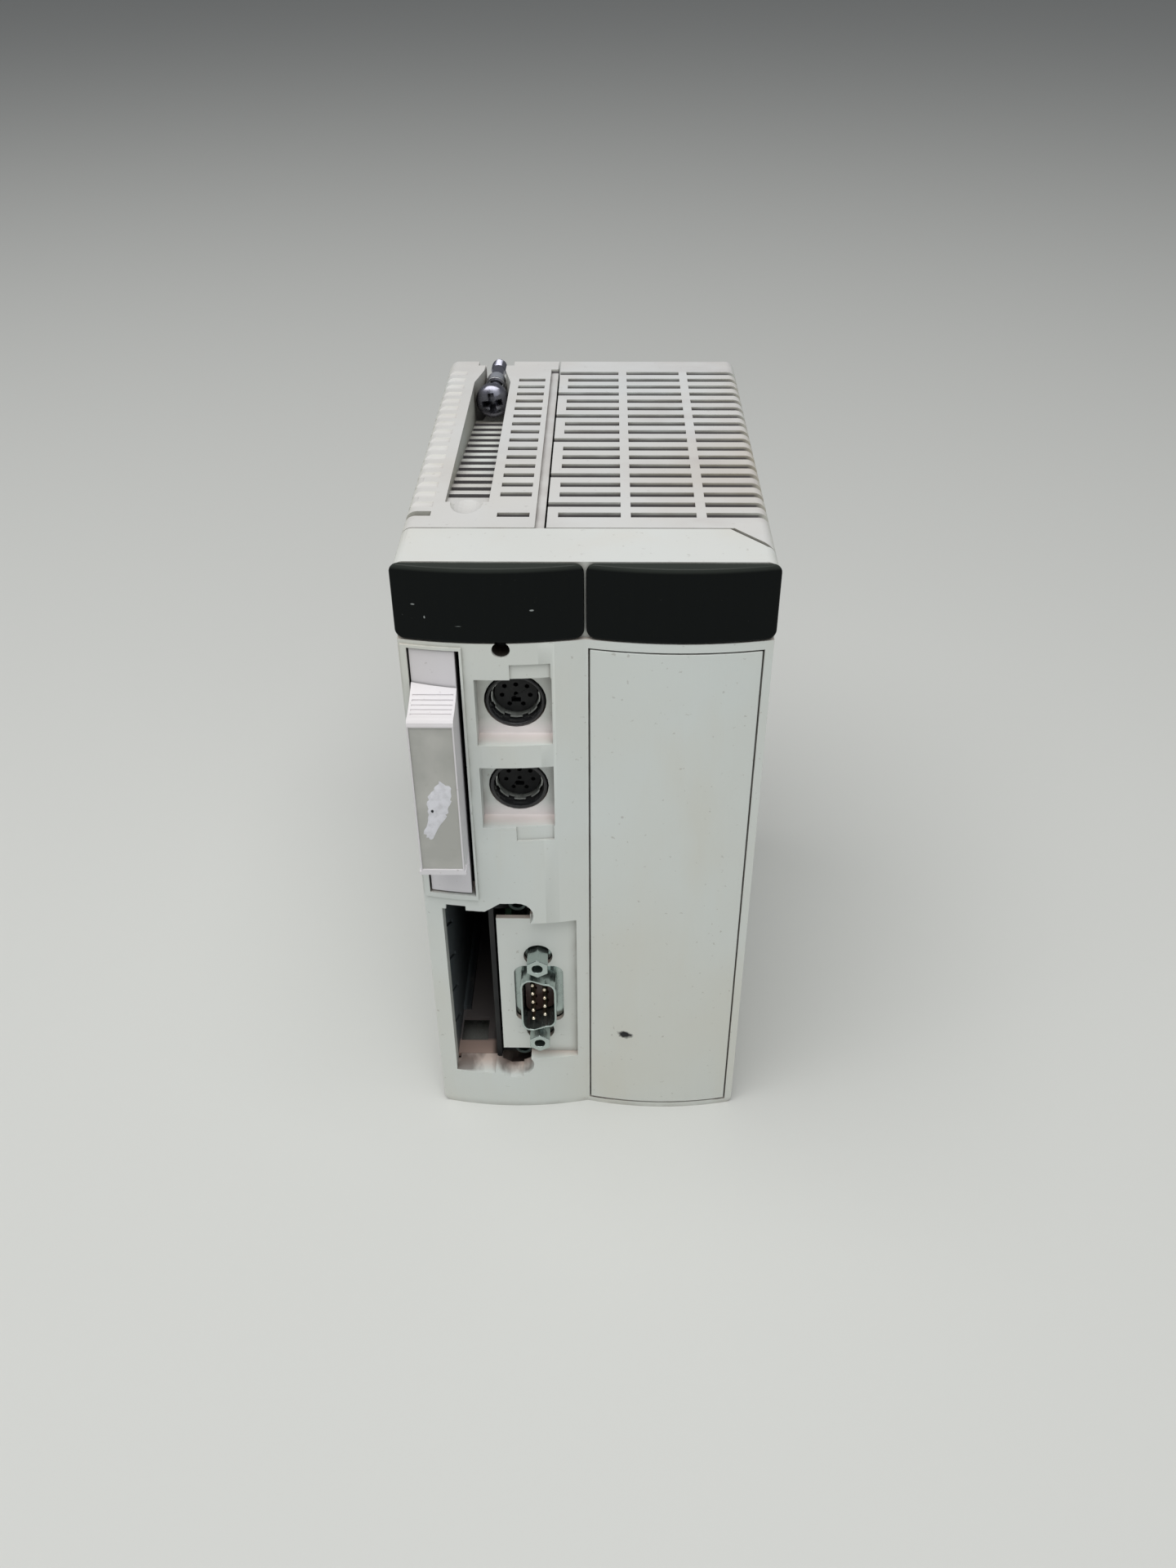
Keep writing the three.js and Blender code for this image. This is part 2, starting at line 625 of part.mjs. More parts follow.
// ---------------------------------------------------------------- windows, display and lamps
function lens(side) {
  const inner = LENS_GAP / 2;
  const outer = SIDE + LENS_PROUD;
  const [x0, x1] = side < 0 ? [-outer, -inner] : [inner, outer];
  const stretch = (outer - inner) / BAY_WIDTH;
  const points = [];
  for (let i = 0; i <= PLAN_STEPS; i += 1) {
    const x = (i * BAY_WIDTH) / PLAN_STEPS;
    points.push([side * (inner + x * stretch), frontAt(x) - 0.1]);
  }
  points.push([side * outer, LENS_BACK], [side * inner, LENS_BACK]);
  const plan = prism("z", points, LENS_BOTTOM, HEIGHT);
  const face = prism("y", roundedOutline(x0, x1, LENS_BOTTOM, HEIGHT, LENS_CORNER, LENS_CORNER), -PAST, 1);
  return plan.intersect(face);
}
add("left_lens", lens(-1), WINDOW);
add("right_lens", lens(1), WINDOW);

const lampX = (index) => DISPLAY.left + 3.2 + index * 4.6;
const lampZ = (DISPLAY.bottom + DISPLAY.top) / 2;
const lampIndexes = Array.from({ length: LAMPS }, (_, index) => index);
const displayBack = LENS_BACK + FIT + 5;
const displayBody = block(
  [DISPLAY.left + FIT, DISPLAY.right - FIT],
  [LENS_BACK + 2 * FIT, displayBack],
  [DISPLAY.bottom + FIT, DISPLAY.top - FIT],
);
const lampBores = lampIndexes.map((index) =>
  rod("y", [lampX(index), lampZ], LAMP_DIAMETER + 2 * FIT, 0, displayBack + 1, 10),
);
add("display_block", cut(displayBody, ...lampBores), DARK_GREY);
const lampRods = lampIndexes.map((index) =>
  rod("y", [lampX(index), lampZ], LAMP_DIAMETER, LENS_BACK + 3 * FIT, displayBack + 1, 10),
);
const lampBar = block(
  [DISPLAY.left + 1, DISPLAY.right - 1],
  [displayBack + FIT, displayBack + FIT + 1.2],
  [lampZ - 1.6, lampZ + 1.6],
);
add("lamp_strip", join(lampBar, ...lampRods), LAMP);

// ---------------------------------------------------------------- blank panel
const panelPlate = prism(
  "z",
  planOutline(0, PANEL_SEAT - FIT),
  PANEL.bottom + PANEL_GROOVE,
  PANEL.top - PANEL_GROOVE,
).intersect(block([PANEL.left + PANEL_GROOVE, PANEL.right - PANEL_GROOVE], [-PAST, PANEL_SEAT], [0, HEIGHT]));
add("blank_panel", panelPlate, PLASTIC);

// ---------------------------------------------------------------- round sockets
// Each socket is drawn round its own axis, with y = 0 at the floor of its recess.
const contactPlaces = [
  [-2.3, 1.7], [0, 2.1], [2.3, 1.7],
  [-2.9, -0.4], [0, -0.1], [2.9, -0.4],
  [-1.4, -2.5], [1.4, -2.5],
];
function socketBody() {
  const back = PORT_DEPTH + 1.5;
  const cup = turned(
    [[0, PORT_DEPTH], [PORT_BORE / 2, PORT_DEPTH], [PORT_BORE / 2, -0.3], [PORT_RING / 2, -0.3],
      [PORT_RING / 2, back], [0, back]],
    28,
  );
  const foot = block([-7, MAIN_BOARD_X - FIT - PORT_X], [RECESS_WALL + 2 * FIT, back], [-7, 7]);
  return join(cup, cut(foot, rod("y", [0, 0], PORT_BORE + 0.4, -1, PORT_DEPTH, 28)));
}
function socketShield() {
  const ring = turned(
    [[SHIELD_INNER / 2, SHIELD_FRONT], [SHIELD_OUTER / 2, SHIELD_FRONT],
      [SHIELD_OUTER / 2, PORT_DEPTH - FIT], [SHIELD_INNER / 2, PORT_DEPTH - FIT],
      [SHIELD_INNER / 2, SHIELD_FRONT]],
    28,
  );
  const notches = Array.from({ length: 4 }, (_, index) => {
    const bar = new THREE.BoxGeometry(SHIELD_OUTER + 2, 1.6, 1.3);
    bar.rotateY(((index + 0.5) * Math.PI) / 4).translate(0, SHIELD_FRONT, 0);
    return solidOf(bar);
  });
  return cut(ring, ...notches);
}
function socketInsert() {
  const plug = rod("y", [0, 0], INSERT_DIAMETER, INSERT_FRONT, PORT_DEPTH - FIT, 24);
  const holes = contactPlaces.map((place) => rod("y", place, 1, INSERT_FRONT - 1, INSERT_FRONT + 3, 6));
  const key = block([-0.9, 0.9], [INSERT_FRONT - 1, INSERT_FRONT + 3], [-2, -1]);
  return cut(plug, ...holes, key);
}
for (const [name, z] of ports) {
  const home = groupAt(PORT_X, RECESS_FLOOR, z);
  add(`${name}_body`, socketBody(), BLACK, home);
  add(`${name}_shield`, socketShield(), ZINC, home);
  add(`${name}_insert`, socketInsert(), BLACK, home);
}

// ---------------------------------------------------------------- sub-D plug
// Drawn round its own axis, with y = 0 at the back of its flange; the wide side faces left.
const plugHome = groupAt(PLUG_X, PLATE_FRONT + PLATE_THICK + FIT, PLUG_Z);
const shellFront = PLUG_FRONT - plugHome.position.y;
const FLANGE = 0.8;
const PLUG_REAR = 8.5;
const INSULATOR_FRONT = 0.4;
function plugOutline(shrink) {
  const half = PLUG_WIDTH / 2 - shrink;
  const wide = PLUG_LENGTH / 2 - shrink;
  const narrow = wide - PLUG_WIDTH * Math.tan((PLUG_SLANT * Math.PI) / 180);
  const round = PLUG_CORNER - shrink / 2;
  const shape = new THREE.Shape();
  shape.moveTo(-half + round, -wide);
  shape.lineTo(half - round, -narrow);
  shape.quadraticCurveTo(half, -narrow, half, -narrow + round);
  shape.lineTo(half, narrow - round);
  shape.quadraticCurveTo(half, narrow, half - round, narrow);
  shape.lineTo(-half + round, wide);
  shape.quadraticCurveTo(-half, wide, -half, wide - round);
  shape.lineTo(-half, -wide + round);
  shape.quadraticCurveTo(-half, -wide, -half + round, -wide);
  return shape;
}
function plugShell() {
  const sleeve = prism("y", plugOutline(0), shellFront, PLUG_REAR, 4);
  const flange = prism("y", roundedOutline(-6.2, 6.2, -15.4, 15.4, 1, 1), 0, FLANGE, 3);
  const hollow = prism("y", plugOutline(PLUG_SHEET), shellFront - 1, PLUG_REAR + 1, 4);
  const holes = [-1, 1].map((side) => rod("y", [0, (side * JACK_PITCH) / 2], 3.4, -1, FLANGE + 1, 12));
  return cut(join(sleeve, flange), hollow, ...holes);
}
const pinPlaces = [5, 4].flatMap((count, row) =>
  Array.from({ length: count }, (_, index) => [
    (row - 0.5) * PIN_ROWS,
    (index - (count - 1) / 2) * PIN_PITCH,
  ]),
);
const insulator = cut(
  prism("y", plugOutline(PLUG_SHEET + FIT), INSULATOR_FRONT, PLUG_REAR, 4),
  ...pinPlaces.map((place) => rod("y", place, PIN_DIAMETER + 2 * FIT, INSULATOR_FRONT - 1, PLUG_REAR + 1, 8)),
);
const pins = join(
  block([-2.4, 2.4], [PLUG_REAR + FIT, PLUG_REAR + FIT + 1], [1.85 - PLUG_LENGTH / 2, PLUG_LENGTH / 2 - 1.85]),
  ...pinPlaces.map((place) => rod("y", place, PIN_DIAMETER, shellFront + 1, PLUG_REAR + FIT + 0.5, 8)),
);
add("plug_shell", plugShell(), ZINC, plugHome);
add("plug_insulator", insulator, BLACK, plugHome);
add("plug_pins", pins, GOLD, plugHome);

[["jack_nut_upper", 1], ["jack_nut_lower", -1]].forEach(([name, side]) => {
  const home = groupAt(PLUG_X, plugHome.position.y, PLUG_Z + (side * JACK_PITCH) / 2);
  const hexAcross = JACK_HEX / Math.cos(Math.PI / 6);
  const front = shellFront - 0.4;
  const hex = rod("y", [0, 0], hexAcross, front, -FIT, 6);
  const stem = rod("y", [0, 0], 2.8, -FIT - 0.5, 6, 12);
  add(name, cut(join(hex, stem), rod("y", [0, 0], 2.5, front - 1, front + 4.5, 12)), ZINC, home);
});

// ---------------------------------------------------------------- communication card bay
function cardCage() {
  const front = FRONT_INNER + 2 * FIT;
  const { left, right, bottom, top } = BAY_SLOT;
  const outer = block(
    [left - BAY_SHEET, right + BAY_SHEET],
    [front, BAY_DEPTH],
    [bottom - BAY_SHEET, top + BAY_SHEET],
  );
  const inner = block([left, right], [front - 1, BAY_DEPTH + 1], [bottom, top]);
  const rails = [[bottom - 0.5, bottom + 1.6], [top - 1.6, top + 0.5]].map((z) =>
    block([left - 0.5, left + 2], [front + 16, BAY_DEPTH], z),
  );
  const ears = CARD_NUT_Z.map((z) =>
    block([right + BAY_SHEET - 0.5, CARD_NUT_X + 3.4], [EAR_FRONT, EAR_FRONT + BAY_SHEET], [z - 3.6, z + 3.6]),
  );
  // Slanting cuts in the left side, and a well in the floor behind the front shelf
  const slants = [26.5, 37.2, 48, 58.7].map((z) => {
    const outline = [[front + 1, z - 2.4], [front + 10, z - 9], [front + 10, z - 9.9], [front + 1, z - 3.3]];
    return prism("x", outline, left - BAY_SHEET - 1, left + 1);
  });
  const well = block([left + 0.4, right - 3], [9.2, 17], [bottom - BAY_SHEET - 1, bottom + 1]);
  const lipRoom = block([left, -21.2], [front - 1, FRONT_INNER + 1.5 + FIT], [bottom - BAY_SHEET - 1, bottom + 0.2]);
  const holes = CARD_NUT_Z.map((z) =>
    rod("y", [CARD_NUT_X, z], CARD_NUT_DIAMETER + 2 * FIT, EAR_FRONT - 1, EAR_FRONT + 3, 16),
  );
  return cut(join(cut(outer, inner), ...rails, ...ears), ...slants, well, lipRoom, ...holes);
}
add("card_cage", cardCage(), DARK_GREY);
[["card_nut_lower", 0], ["card_nut_upper", 1]].forEach(([name, index]) => {
  const home = groupAt(CARD_NUT_X, FRONT_INNER - 0.4, CARD_NUT_Z[index]);
  const nut = rod("y", [0, 0], CARD_NUT_DIAMETER, 0, 7, 16);
  add(name, cut(nut, rod("y", [0, 0], 2.6, -1, 5.5, 12)), ZINC, home);
});
const cageHeader = cut(
  block([BAY_SLOT.left, BAY_SLOT.right], [BAY_DEPTH + FIT, BAY_DEPTH + 8], [14, 64]),
  block([BAY_SLOT.left + 3, BAY_SLOT.right - 3], [BAY_DEPTH - 1, BAY_DEPTH + 6], [17, 61]),
);
add("card_cage_header", cageHeader, BLACK);

// ---------------------------------------------------------------- memory card, guide and header
const cardMiddleZ = (CARD_SLOT.bottom + CARD_SLOT.top) / 2;
const cardLow = cardMiddleZ - CARD.width / 2;
const cardHigh = cardMiddleZ + CARD.width / 2;
const cardX = [slotMiddle - CARD.thick / 2, slotMiddle + CARD.thick / 2];
const guideFront = SIDE_WRAP + 1;
const cardBack = CARD.front + CARD.length;
function cardGuide() {
  const x = [cardX[0] - 2.2, cardX[1] + 2.2];
  const rails = [
    [cardLow - 3, cardLow + 2.4],
    [cardHigh - 2.4, cardHigh + 3],
  ].map((z) => block(x, [guideFront, cardBack - 2], z));
  const back = block([x[0], x[0] + 1.2], [guideFront + 10, cardBack - 4], [cardLow - 3, cardHigh + 3]);
  const groove = block([cardX[0] - FIT, cardX[1] + FIT], [0, cardBack + 2], [cardLow - FIT, cardHigh + FIT]);
  return cut(join(...rails, back), groove);
}
add("memory_card_guide", cardGuide(), BLACK);
const cardHeader = cut(
  block([cardX[0] - 1.6, cardX[1] + 1.6], [cardBack + FIT, cardBack + 8], [cardLow + 1, cardHigh - 1]),
  block([cardX[0] + 0.5, cardX[1] - 0.5], [cardBack, cardBack + 6], [cardLow + 3, cardHigh - 3]),
);
add("memory_card_header", cardHeader, BLACK);

const cardHome = groupAt(0, 0, 0);
const card = block(cardX, [CARD.front, cardBack], [cardLow, cardHigh]);
const cardSteps = [cardLow, cardHigh].map((z) =>
  block([cardX[0] - 1, cardX[0] + 0.9], [CARD.front - 1, cardBack + 1], [z - 1.2, z + 1.2]),
);
add("memory_card", cut(card, ...cardSteps), ALUMINIUM, cardHome);

function cardCover() {
  const plate = prism("z", planOutline(0, 1.2), CARD_SLOT.bottom + FIT, CARD_SLOT.top - FIT).intersect(
    block([CARD_SLOT.left + FIT, CARD_SLOT.right - 0.9], [-PAST, 1.3], [0, HEIGHT]),
  );
  const neck = block([cardX[0] - 0.8, cardX[1] + 0.8], [0.9, CARD.front - FIT], [cardLow + 4, cardHigh - 4]);
  return join(plate, neck);
}
add("card_cover", cardCover(), PLASTIC, cardHome);

// z of the thumb shelf at a place between the cover and the lip: a hollow that flattens outwards
const shelfAt = (y) => HANDLE.top - SHELF_DROP * (1 - (1 + y / HANDLE.reach) ** 2);
function cardHandle() {
  const { left, right, bottom, top, reach } = HANDLE;
  const shelf = [];
  for (let y = 0; y > -reach + HANDLE_LIP; y -= 1) shelf.push([y, shelfAt(y)]);
  const lip = top - SHELF_DROP;
  const profile = [
    [FRONT_INNER, bottom],
    [FRONT_INNER, top],
    ...shelf,
    [-reach + HANDLE_LIP, lip + 0.1],
    [-reach + 0.5 * HANDLE_LIP, lip],
    [-reach + 0.15 * HANDLE_LIP, lip - 0.4 * HANDLE_LIP],
    [-reach, lip - HANDLE_LIP],
    [-reach, bottom],
  ];
  const outer = prism("x", profile.reverse(), left, right);
  const surface = prism("z", planOutline(FIT, FRONT_INNER + 1), bottom - 1, top + 1);
  const foot = block(
    [left - HANDLE_FOOT.proud, right + HANDLE_FOOT.proud],
    [-reach, -reach + HANDLE_FOOT.deep],
    [bottom, bottom + HANDLE_FOOT.high],
  );
  const hollow = block(
    [left + HANDLE_WALL, right - HANDLE_WALL],
    [-reach + LABEL.recess + HANDLE_WALL, FRONT_INNER],
    [bottom - 1, top - SHELF_DROP - HANDLE_WALL - 0.6],
  );
  const labelSeat = block(
    [left + LABEL.margin, right - LABEL.margin],
    [-reach - 1, -reach + LABEL.recess],
    [LABEL.bottom, LABEL.top],
  );
  const ribs = [];
  for (let y = -reach + 2.2; y < -2.6; y += SHELF_RIB.pitch) {
    const floor = shelfAt(y + SHELF_RIB.width / 2) - SHELF_RIB.depth;
    ribs.push(block([left + 0.5, right - 0.5], [y, y + SHELF_RIB.width], [floor, top + 1]));
  }
  return cut(join(outer, foot), surface, hollow, labelSeat, ...ribs);
}
add("card_handle", cardHandle(), PLASTIC, cardHome);
const labelPlate = block(
  [HANDLE.left + LABEL.margin + FIT, HANDLE.right - LABEL.margin - FIT],
  [-HANDLE.reach + LABEL.recess - 2 * FIT, -HANDLE.reach + LABEL.recess - FIT],
  [LABEL.bottom + FIT, LABEL.top - FIT],
);
add("card_label", labelPlate, PAPER, cardHome);

// ---------------------------------------------------------------- rack screw, washer and collar
const screwHome = groupAt(SCREW_X, 0, SCREW_Z);
const headBack = HEAD_FRONT + HEAD_LENGTH;
function rackScrew() {
  const radius = HEAD_DIAMETER / 2;
  const shank = SHANK_DIAMETER / 2;
  const thread = THREAD_DIAMETER / 2;
  const tip = REAR + SCREW_TIP;
  const body = turned(
    [[0, HEAD_FRONT], [radius * 0.5, HEAD_FRONT + 0.3], [radius * 0.85, HEAD_FRONT + 1.1],
      [radius, HEAD_FRONT + 2], [radius, headBack], [shank, headBack], [shank, THREAD_START],
      [thread, THREAD_START], [thread, tip - 0.8], [thread - 0.8, tip], [0, tip]],
    20,
  );
  const arms = [
    block([-2.2, 2.2], [HEAD_FRONT - 1, HEAD_FRONT + 1.8], [-0.5, 0.5]),
    block([-0.5, 0.5], [HEAD_FRONT - 1, HEAD_FRONT + 1.8], [-2.2, 2.2]),
  ];
  return cut(body, ...arms);
}
add("rack_screw", rackScrew(), ZINC, screwHome);
const ringBore = SHANK_DIAMETER / 2 + FIT + 0.05;
const ringProfile = [
  [ringBore, RING_FRONT],
  [ringBore + 0.65, RING_FRONT],
  [ringBore + 0.65, RING_FRONT + RING_THICK],
  [ringBore, RING_FRONT + RING_THICK],
  [ringBore, RING_FRONT],
];
const ring = turned(ringProfile, 20);
add("screw_ring", ring, ZINC, screwHome);
const collarBody = join(
  rod("y", [0, 0], COLLAR.diameter, COLLAR.front, COLLAR.back, 24),
  block([-COLLAR_KEY.half, COLLAR_KEY.half], [COLLAR_KEY.front, COLLAR_KEY.back], [-COLLAR_KEY.drop, 0]),
);
const collarBore = rod("y", [0, 0], SHANK_DIAMETER + 2 * FIT, 0, REAR, 24);
add("screw_collar", cut(collarBody, collarBore), DARK_GREY, screwHome);

// ---------------------------------------------------------------- reset button and its switch
const resetHome = groupAt(RESET_X, 0, RESET_Z);
const resetRod = join(
  rod("y", [0, 0], RESET_ROD, 1.6, 7.6, 14),
  rod("y", [0, 0], 4.2, 5.6, 6.8, 14),
);
add("reset_button", resetRod, BLACK, resetHome);
const switchBody = block([-3, MAIN_BOARD_X - FIT - RESET_X], [9, 14.5], [-3, 2.6]);
add("reset_switch", switchBody, BLACK, resetHome);

// ---------------------------------------------------------------- boards and components
const mainBoard = block([MAIN_BOARD_X, MAIN_BOARD_X + BOARD], [FRONT_INNER + 1.7, REAR - 5], [5, HEIGHT - 4]);
add("main_board", mainBoard, LAMINATE);
const cardBoardTop = PIT_FLOOR - TROUGH_WALL - 1.5;
const cardBoard = block([CARD_BOARD_X, CARD_BOARD_X + BOARD], [20, REAR - 5], [5, cardBoardTop]);
add("card_board", cardBoard, LAMINATE);

const chipX = MAIN_BOARD_X + BOARD + FIT;
add("processor_chip", block([chipX, chipX + 2.2], [35, 65], [75, 105]), BLACK);
const sinkX = chipX + 2.2 + FIT;
function heatSink() {
  const base = block([sinkX, sinkX + 2.5], [32, 68], [72, 108]);
  const fins = Array.from({ length: 8 }, (_, index) => {
    const y = 32 + index * 4.97;
    return block([sinkX + 2, sinkX + 14], [y, y + 1.2], [72, 108]);
  });
  return join(base, ...fins);
}
add("heat_sink", heatSink(), ALUMINIUM);
[["memory_chip_1", 44], ["memory_chip_2", 60]].forEach(([name, z]) => {
  add(name, block([chipX, chipX + 2.2], [74, 96], [z, z + 11]), BLACK);
});
[["capacitor_1", 116], ["capacitor_2", 130]].forEach(([name, z]) => {
  add(name, rod("x", [88, z], 10, chipX, chipX + 13, 20), DARK_GREY);
});
const linkX = [CARD_BOARD_X + BOARD + FIT, MAIN_BOARD_X - FIT];
add("board_link", block(linkX, [56, 62], [80, 128]), BLACK);

[["bus_plug_lower", 0], ["bus_plug_upper", 1]].forEach(([name, index]) => {
  const z = [BUS_Z[index] - BUS.length / 2, BUS_Z[index] + BUS.length / 2];
  const body = block([BUS.left, BUS.right], [BUS.front, REAR + BUS.reach], z);
  const socket = block(
    [BUS.left + 1.2, BUS.right - 1.2],
    [REAR - 3, REAR + BUS.reach + 1],
    [z[0] + 2.5, z[1] - 2.5],
  );
  add(name, cut(body, socket), DARK_GREY);
});

// Earthing strip below the lower bus plug, bent away from the rear face.
const clipOutline = [
  [REAR + FIT, 3],
  [REAR + FIT + 0.6, 3],
  [REAR + FIT + 0.6, 7],
  [REAR + 3, 10.5],
  [REAR + FIT + 0.6, 14],
  [REAR + FIT + 0.6, 17],
  [REAR + FIT, 17],
  [REAR + FIT, 13.8],
  [REAR + 2.3, 10.5],
  [REAR + FIT, 7.2],
];
add("ground_clip", prism("x", clipOutline, -16.5, -10.5), ZINC);

export default part;
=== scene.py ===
import math
import random

import bmesh
import bpy
from mathutils import Matrix, Vector


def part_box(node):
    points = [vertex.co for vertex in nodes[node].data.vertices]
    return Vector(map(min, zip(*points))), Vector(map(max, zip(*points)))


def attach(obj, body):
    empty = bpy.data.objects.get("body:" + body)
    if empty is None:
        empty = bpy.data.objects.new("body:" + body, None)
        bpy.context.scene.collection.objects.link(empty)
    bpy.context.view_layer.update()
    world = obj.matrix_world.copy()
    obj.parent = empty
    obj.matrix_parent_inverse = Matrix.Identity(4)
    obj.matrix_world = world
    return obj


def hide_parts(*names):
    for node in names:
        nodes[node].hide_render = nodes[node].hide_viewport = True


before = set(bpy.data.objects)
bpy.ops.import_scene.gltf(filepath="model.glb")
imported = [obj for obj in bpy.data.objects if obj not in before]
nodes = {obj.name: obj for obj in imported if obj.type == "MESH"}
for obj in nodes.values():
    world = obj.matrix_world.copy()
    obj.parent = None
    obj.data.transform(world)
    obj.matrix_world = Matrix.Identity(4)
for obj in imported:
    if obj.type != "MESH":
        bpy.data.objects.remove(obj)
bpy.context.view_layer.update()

# ---------------------------------------------------------------- camera, floor and light
# A hand-held view from above and in front. The module stands on a plain pale floor in
# soft daylight from a large window overhead and a weaker one from the left.
SIDE_WRAP = 0.0079  # the case halves start this far behind the front corners
corner_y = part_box("right_case")[0].y - SIDE_WRAP
CAMERA_YAW, CAMERA_PITCH, CAMERA_ROLL = -0.0161398, 0.6370045, -0.0043110
CAMERA_PLACE = Vector((0.003864, corner_y - 0.215618, 0.260184))

forward = Vector((
    math.sin(CAMERA_YAW) * math.cos(CAMERA_PITCH),
    math.cos(CAMERA_YAW) * math.cos(CAMERA_PITCH),
    -math.sin(CAMERA_PITCH),
))
level = Vector((math.cos(CAMERA_YAW), -math.sin(CAMERA_YAW), 0))
upward = level.cross(forward)
right = math.cos(CAMERA_ROLL) * level + math.sin(CAMERA_ROLL) * upward
above = math.cos(CAMERA_ROLL) * upward - math.sin(CAMERA_ROLL) * level
camera = bpy.data.objects.new("camera", bpy.data.cameras.new("camera"))
bpy.context.scene.collection.objects.link(camera)
camera.data.lens = 29.402
camera.data.sensor_width = 36
camera.data.clip_start = 0.01
camera.data.clip_end = 50
turned_to = Matrix((right, above, -forward)).transposed().to_4x4()
camera.matrix_world = Matrix.Translation(CAMERA_PLACE) @ turned_to
bpy.context.scene.camera = camera


def linear(red, green, blue):
    """A colour as the eye reads it, 0 to 255, turned into the light it gives back."""
    def channel(value):
        value /= 255
        return value / 12.92 if value <= 0.04045 else ((value + 0.055) / 1.055) ** 2.4
    return (channel(red), channel(green), channel(blue), 1)


def lit_by(name, place, towards, size, watts, colour=(1, 1, 1)):
    lamp = bpy.data.objects.new(name, bpy.data.lights.new(name, "AREA"))
    bpy.context.scene.collection.objects.link(lamp)
    lamp.data.shape = "RECTANGLE"
    lamp.data.size, lamp.data.size_y = size
    lamp.data.energy = watts
    lamp.data.color = colour
    lamp.location = place
    lamp.rotation_euler = (Vector(towards) - Vector(place)).to_track_quat("-Z", "Y").to_euler()


lit_by("overhead_window", (-0.15, -0.35, 1.3), (0, 0, 0.05), (1.5, 1.1), 19, (1, 0.995, 0.98))
lit_by("front_fill", (0.3, -1.5, 0.9), (0, 0, 0.07), (1.4, 1.0), 3.2, (0.96, 1, 0.99))
bpy.context.scene.view_settings.view_transform = "Standard"
room = bpy.data.worlds.new("room")
bpy.context.scene.world = room
room.use_nodes = True
room.node_tree.nodes["Background"].inputs["Color"].default_value = (0.93, 0.96, 1, 1)
room.node_tree.nodes["Background"].inputs["Strength"].default_value = 0.19

FLOOR_SIZE = 14
floor_mesh = bpy.data.meshes.new("floor")
half_floor = FLOOR_SIZE / 2
floor_corners = [(a * half_floor, b * half_floor, 0) for a, b in ((-1, -1), (1, -1), (1, 1), (-1, 1))]
floor_mesh.from_pydata(floor_corners, [], [(0, 1, 2, 3)])
floor = bpy.data.objects.new("floor", floor_mesh)
bpy.context.scene.collection.objects.link(floor)
floor_paint = bpy.data.materials.new("floor_paint")
floor_paint.use_nodes = True
floor_shader = floor_paint.node_tree.nodes["Principled BSDF"]
floor_shader.inputs["Base Color"].default_value = linear(206, 207, 204)
floor_shader.inputs["Roughness"].default_value = 0.9
floor_shader.inputs["Specular IOR Level"].default_value = 0.1
floor_mesh.materials.append(floor_paint)

# ---------------------------------------------------------------- front moulding
# One injection-moulded piece of pale grey polycarbonate that closes the front of both slots and laps
# over the top. It is clipped on. Its edges are rounded by the mould and its skin is spark-eroded matt.
MM = 0.001


